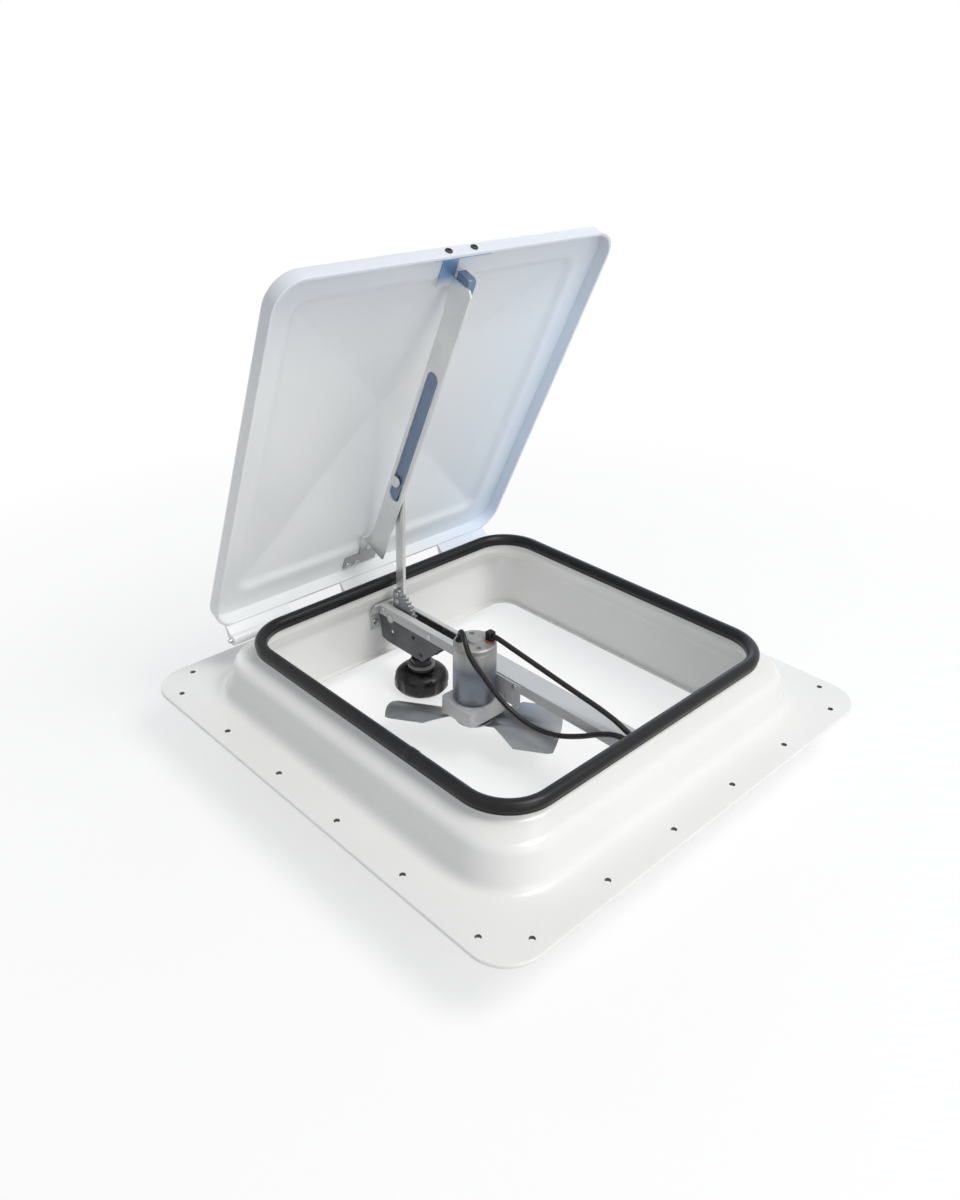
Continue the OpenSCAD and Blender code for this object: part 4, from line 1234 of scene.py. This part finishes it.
@dataclass
class Studio:
    """Camera at the photograph's place, a pale floor and soft light.

    The floor's bounce goes from shade to paper over the spread, and its glow to full over the
    fade, both in metres from the middle.
    """

    camera_place: Point = (-538.886, -519.607, 505.227)
    right: Point = (0.72201, -0.69174, 0.01434)
    up: Point = (0.32352, 0.35585, 0.87675)
    back: Point = (-0.61158, -0.62838, 0.48072)
    lens: float = 29.897
    sensor: float = 36.0
    clip: Pair = (0.01, 50.0)
    floor_z: float = -50.0
    floor_side: float = 60.0
    paper: str = "#E6E6E6"
    shade: str = "#FFFFFF"
    spread: Pair = (0.22, 0.5)
    glow: float = 0.62
    fade: Pair = (0.3, 0.9)
    surroundings: str = "#F1F4F9"
    level: float = 0.45
    aim: Point = (0.0, 0.0, 0.05)
    boxes: tuple[SoftBox, ...] = (
        SoftBox("key", (0.44, -1.32, 2.2), 1.2, 35, "#FFFEFB"),
        SoftBox("front", (-0.29, -2.75, 1.0), 1.6, 15, "#FFFEFC"),
        SoftBox("sky", (2.2, 1.5, 0.9), 1.2, 6, "#B4D4FF"),
        SoftBox("back", (0.0, 2.8, 0.95), 1.6, 10, "#FFFEFC"),
    )

    def camera(self) -> None:
        """Sets the camera up and makes it the scene's."""
        data = bpy.data.cameras.new("camera")
        data.sensor_fit = "VERTICAL"
        data.sensor_width = data.sensor_height = self.sensor
        data.lens = self.lens
        data.clip_start, data.clip_end = self.clip
        eye = bpy.data.objects.new("camera", data)
        bpy.context.scene.collection.objects.link(eye)
        turn = Matrix((self.right, self.up, self.back)).transposed().to_4x4()
        eye.matrix_world = Matrix.Translation(Vector(self.camera_place) * MM) @ turn
        bpy.context.scene.camera = eye

    @staticmethod
    def seen(tree: Tree) -> Socket:
        """Tells the rays that show the surroundings from those that light the object.

        Args:
            tree: the nodes of the floor or the world.

        Returns:
            One for camera, glossy and transmission rays, and zero for the rest.
        """
        rays = add_node(tree, "LightPath").outputs
        through = add_node(
            tree, "Math", {0: rays["Is Glossy Ray"], 1: rays["Is Transmission Ray"]},
            operation="MAXIMUM")
        return add_node(
            tree, "Math", {0: rays["Is Camera Ray"], 1: through.outputs[0]},
            operation="MAXIMUM").outputs[0]

    def floor(self) -> None:
        """Lays the floor, which looks white and keeps the object's shadow."""
        clear_selection()
        bpy.ops.mesh.primitive_plane_add(
            size=self.floor_side, location=(0, 0, self.floor_z * MM))
        ground = settle(bpy.context.object)
        ground.name = "floor"
        material = bpy.data.materials.new("Studio paper white")
        tree = empty_tree(material)
        seen = self.seen(tree)
        place = add_node(tree, "TexCoord").outputs["Object"]
        reach = add_node(
            tree, "VectorMath", {0: place}, operation="LENGTH").outputs["Value"]
        clear = add_node(
            tree, "MapRange", {0: reach, 1: self.spread[0], 2: self.spread[1]})
        bounce = add_node(
            tree, "Mix",
            {0: clear.outputs[0], 6: linear(self.shade), 7: linear(self.paper)}, data_type="RGBA")
        tone = add_node(
            tree, "Mix", {0: seen, 6: bounce.outputs[2], 7: WHITE}, data_type="RGBA")
        paper = add_node(tree, "BsdfDiffuse", {"Color": tone.outputs[2]})
        glow = add_node(tree, "Emission", {"Color": WHITE, "Strength": 1.0})
        fade = add_node(
            tree, "MapRange",
            {0: reach, 1: self.fade[0], 2: self.fade[1], 3: self.glow, 4: 1.0})
        share = add_node(
            tree, "Math", {0: seen, 1: fade.outputs[0]}, operation="MULTIPLY")
        mix = add_node(
            tree, "MixShader",
            {0: share.outputs[0], 1: paper.outputs[0], 2: glow.outputs[0]})
        add_node(tree, "OutputMaterial", {"Surface": mix.outputs[0]})
        ground.data.materials.append(material)

    def light(self) -> None:
        """Sets the pale surroundings and the soft boxes."""
        world = bpy.data.worlds.new("surroundings")
        bpy.context.scene.world = world
        tree = empty_tree(world)
        dim = add_node(
            tree, "Background",
            {"Color": linear(self.surroundings), "Strength": self.level})
        white = add_node(tree, "Background", {"Color": WHITE, "Strength": 1.0})
        mix = add_node(
            tree, "MixShader",
            {0: self.seen(tree), 1: dim.outputs[0], 2: white.outputs[0]})
        add_node(tree, "OutputWorld", {"Surface": mix.outputs[0]})
        for box in self.boxes:
            box.hang(self.aim)

    def build(self) -> None:
        """Sets the whole studio."""
        self.camera()
        self.floor()
        self.light()
        bpy.context.scene.view_settings.view_transform = "Standard"


def arm_point(along: float, x: float) -> Point:
    """Gives a place on the lift arm.

    Args:
        along: distance from the pivot.
        x: place across the arm.

    Returns:
        The point in millimetres.
    """
    turn = math.radians(ARM_TURN)
    return x, PIVOT[1] + along * math.cos(turn), PIVOT[2] + along * math.sin(turn)


def fasteners() -> list[FastenerSet]:
    """Lists the screws and rivets with their places.

    Returns:
        One set for each CAD node of fasteners.
    """
    lid = lid_place()
    slope = math.atan2(SHOULDER_RISE, SHOULDER_RUN)
    lean = (0.0, math.sin(slope), math.cos(slope))
    uphill = (0.0, -math.cos(slope), math.sin(slope))
    offset = TAB_SCREW_UP * Vector(uphill) + TAB_THICKNESS * Vector(lean)
    tabs = [tuple(Vector((x, SHOULDER_Y, SHOULDER_Z)) + offset) for x in TAB_SCREW_X]
    return [
        FastenerSet(
            "rail_front_screw_set", "rail_front_screws", "lid", SKIRT_SCREW, 5.5,
            [((x, LID_FRONT_Y, RAIL_SCREW_Z), (0, -1, 0)) for x in RAIL_SCREW_X], lid,
            "dark_steel", BLACK_SCREW),
        FastenerSet(
            "rail_foot_rivet_set", "rail_foot_rivets", "lid", FOOT_RIVET, 4.0,
            [((x, RAIL_RIVET_Y, RAIL_RIVET_Z), (0, 0, -1)) for x in RAIL_RIVET_X], lid),
        FastenerSet(
            "hinge_tab_screw_set", "hinge_tab_screws", "base", SKIRT_SCREW, 6.0,
            [(point, lean) for point in tabs]),
        FastenerSet(
            "channel_screw_set", "channel_screws", "base", CHANNEL_SCREW, 6.1,
            [((x, s * CHANNEL_END_Y, CHANNEL_SCREW_Z), (0, -s, 0))
             for s in (1, -1) for x in CHANNEL_SCREW_X]),
        FastenerSet(
            "bracket_rivet_set", "bracket_rivets", "base", WEB_RIVET, 3.7,
            [((s * BRACKET_X, y, WEB_RIVET_Z), (s, 0, 0))
             for s in (1, -1) for y in BRACKET_RIVET_Y]),
        FastenerSet(
            "motor_pan_rivet_set", "motor_bracket_rivets", "base", WEB_RIVET, 4.1,
            [((PAN_X, y, WEB_RIVET_Z), (-1, 0, 0)) for y in PAN_RIVET_Y]),
        FastenerSet(
            "arm_rivet_set", "arm_rivets", "arm", ARM_RIVET, 3.4,
            [(arm_point(u, x), (s, 0, 0)) for u in ARM_RIVET_ALONG for x, s in ARM_FACES]),
    ]


def dress_nodes() -> None:
    """Gives every CAD node its finish, and eases the edges of those that show."""
    for name, finish in NODE_FINISH.items():
        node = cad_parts[name]
        finish.dress(node)
        if node.hide_render:
            continue
        weld = node.modifiers.new("weld", "WELD")
        weld.merge_threshold = WELD_REACH
        ease = node.modifiers.new("ease", "BEVEL")
        ease.width = EASE_MM * MM
        ease.segments = EASE_STEPS
        ease.limit_method = "ANGLE"
        ease.angle_limit = math.radians(EASE_ANGLE)
        LOG.info("dressed %s in %s", name, finish.name)


def main() -> None:
    """Builds and dresses the vent in order."""
    logging.basicConfig(level=logging.INFO, format="%(message)s")
    Studio().build()
    makers = [
        MotorLead("motor_lead_near", "lead_near", NEAR_ROUTE),
        MotorLead("motor_lead_far", "lead_far", FAR_ROUTE),
        BaseMoulding(), RimSeal(), LidMoulding(), RailBack(), TerminalWasher(), *fasteners(),
    ]
    for maker in makers:
        made = maker.build()
        for piece in made if isinstance(made, list) else [made]:
            LOG.info("built %s", piece.name)
    dress_nodes()
    clear_selection()


if __name__ == "__main__":
    main()
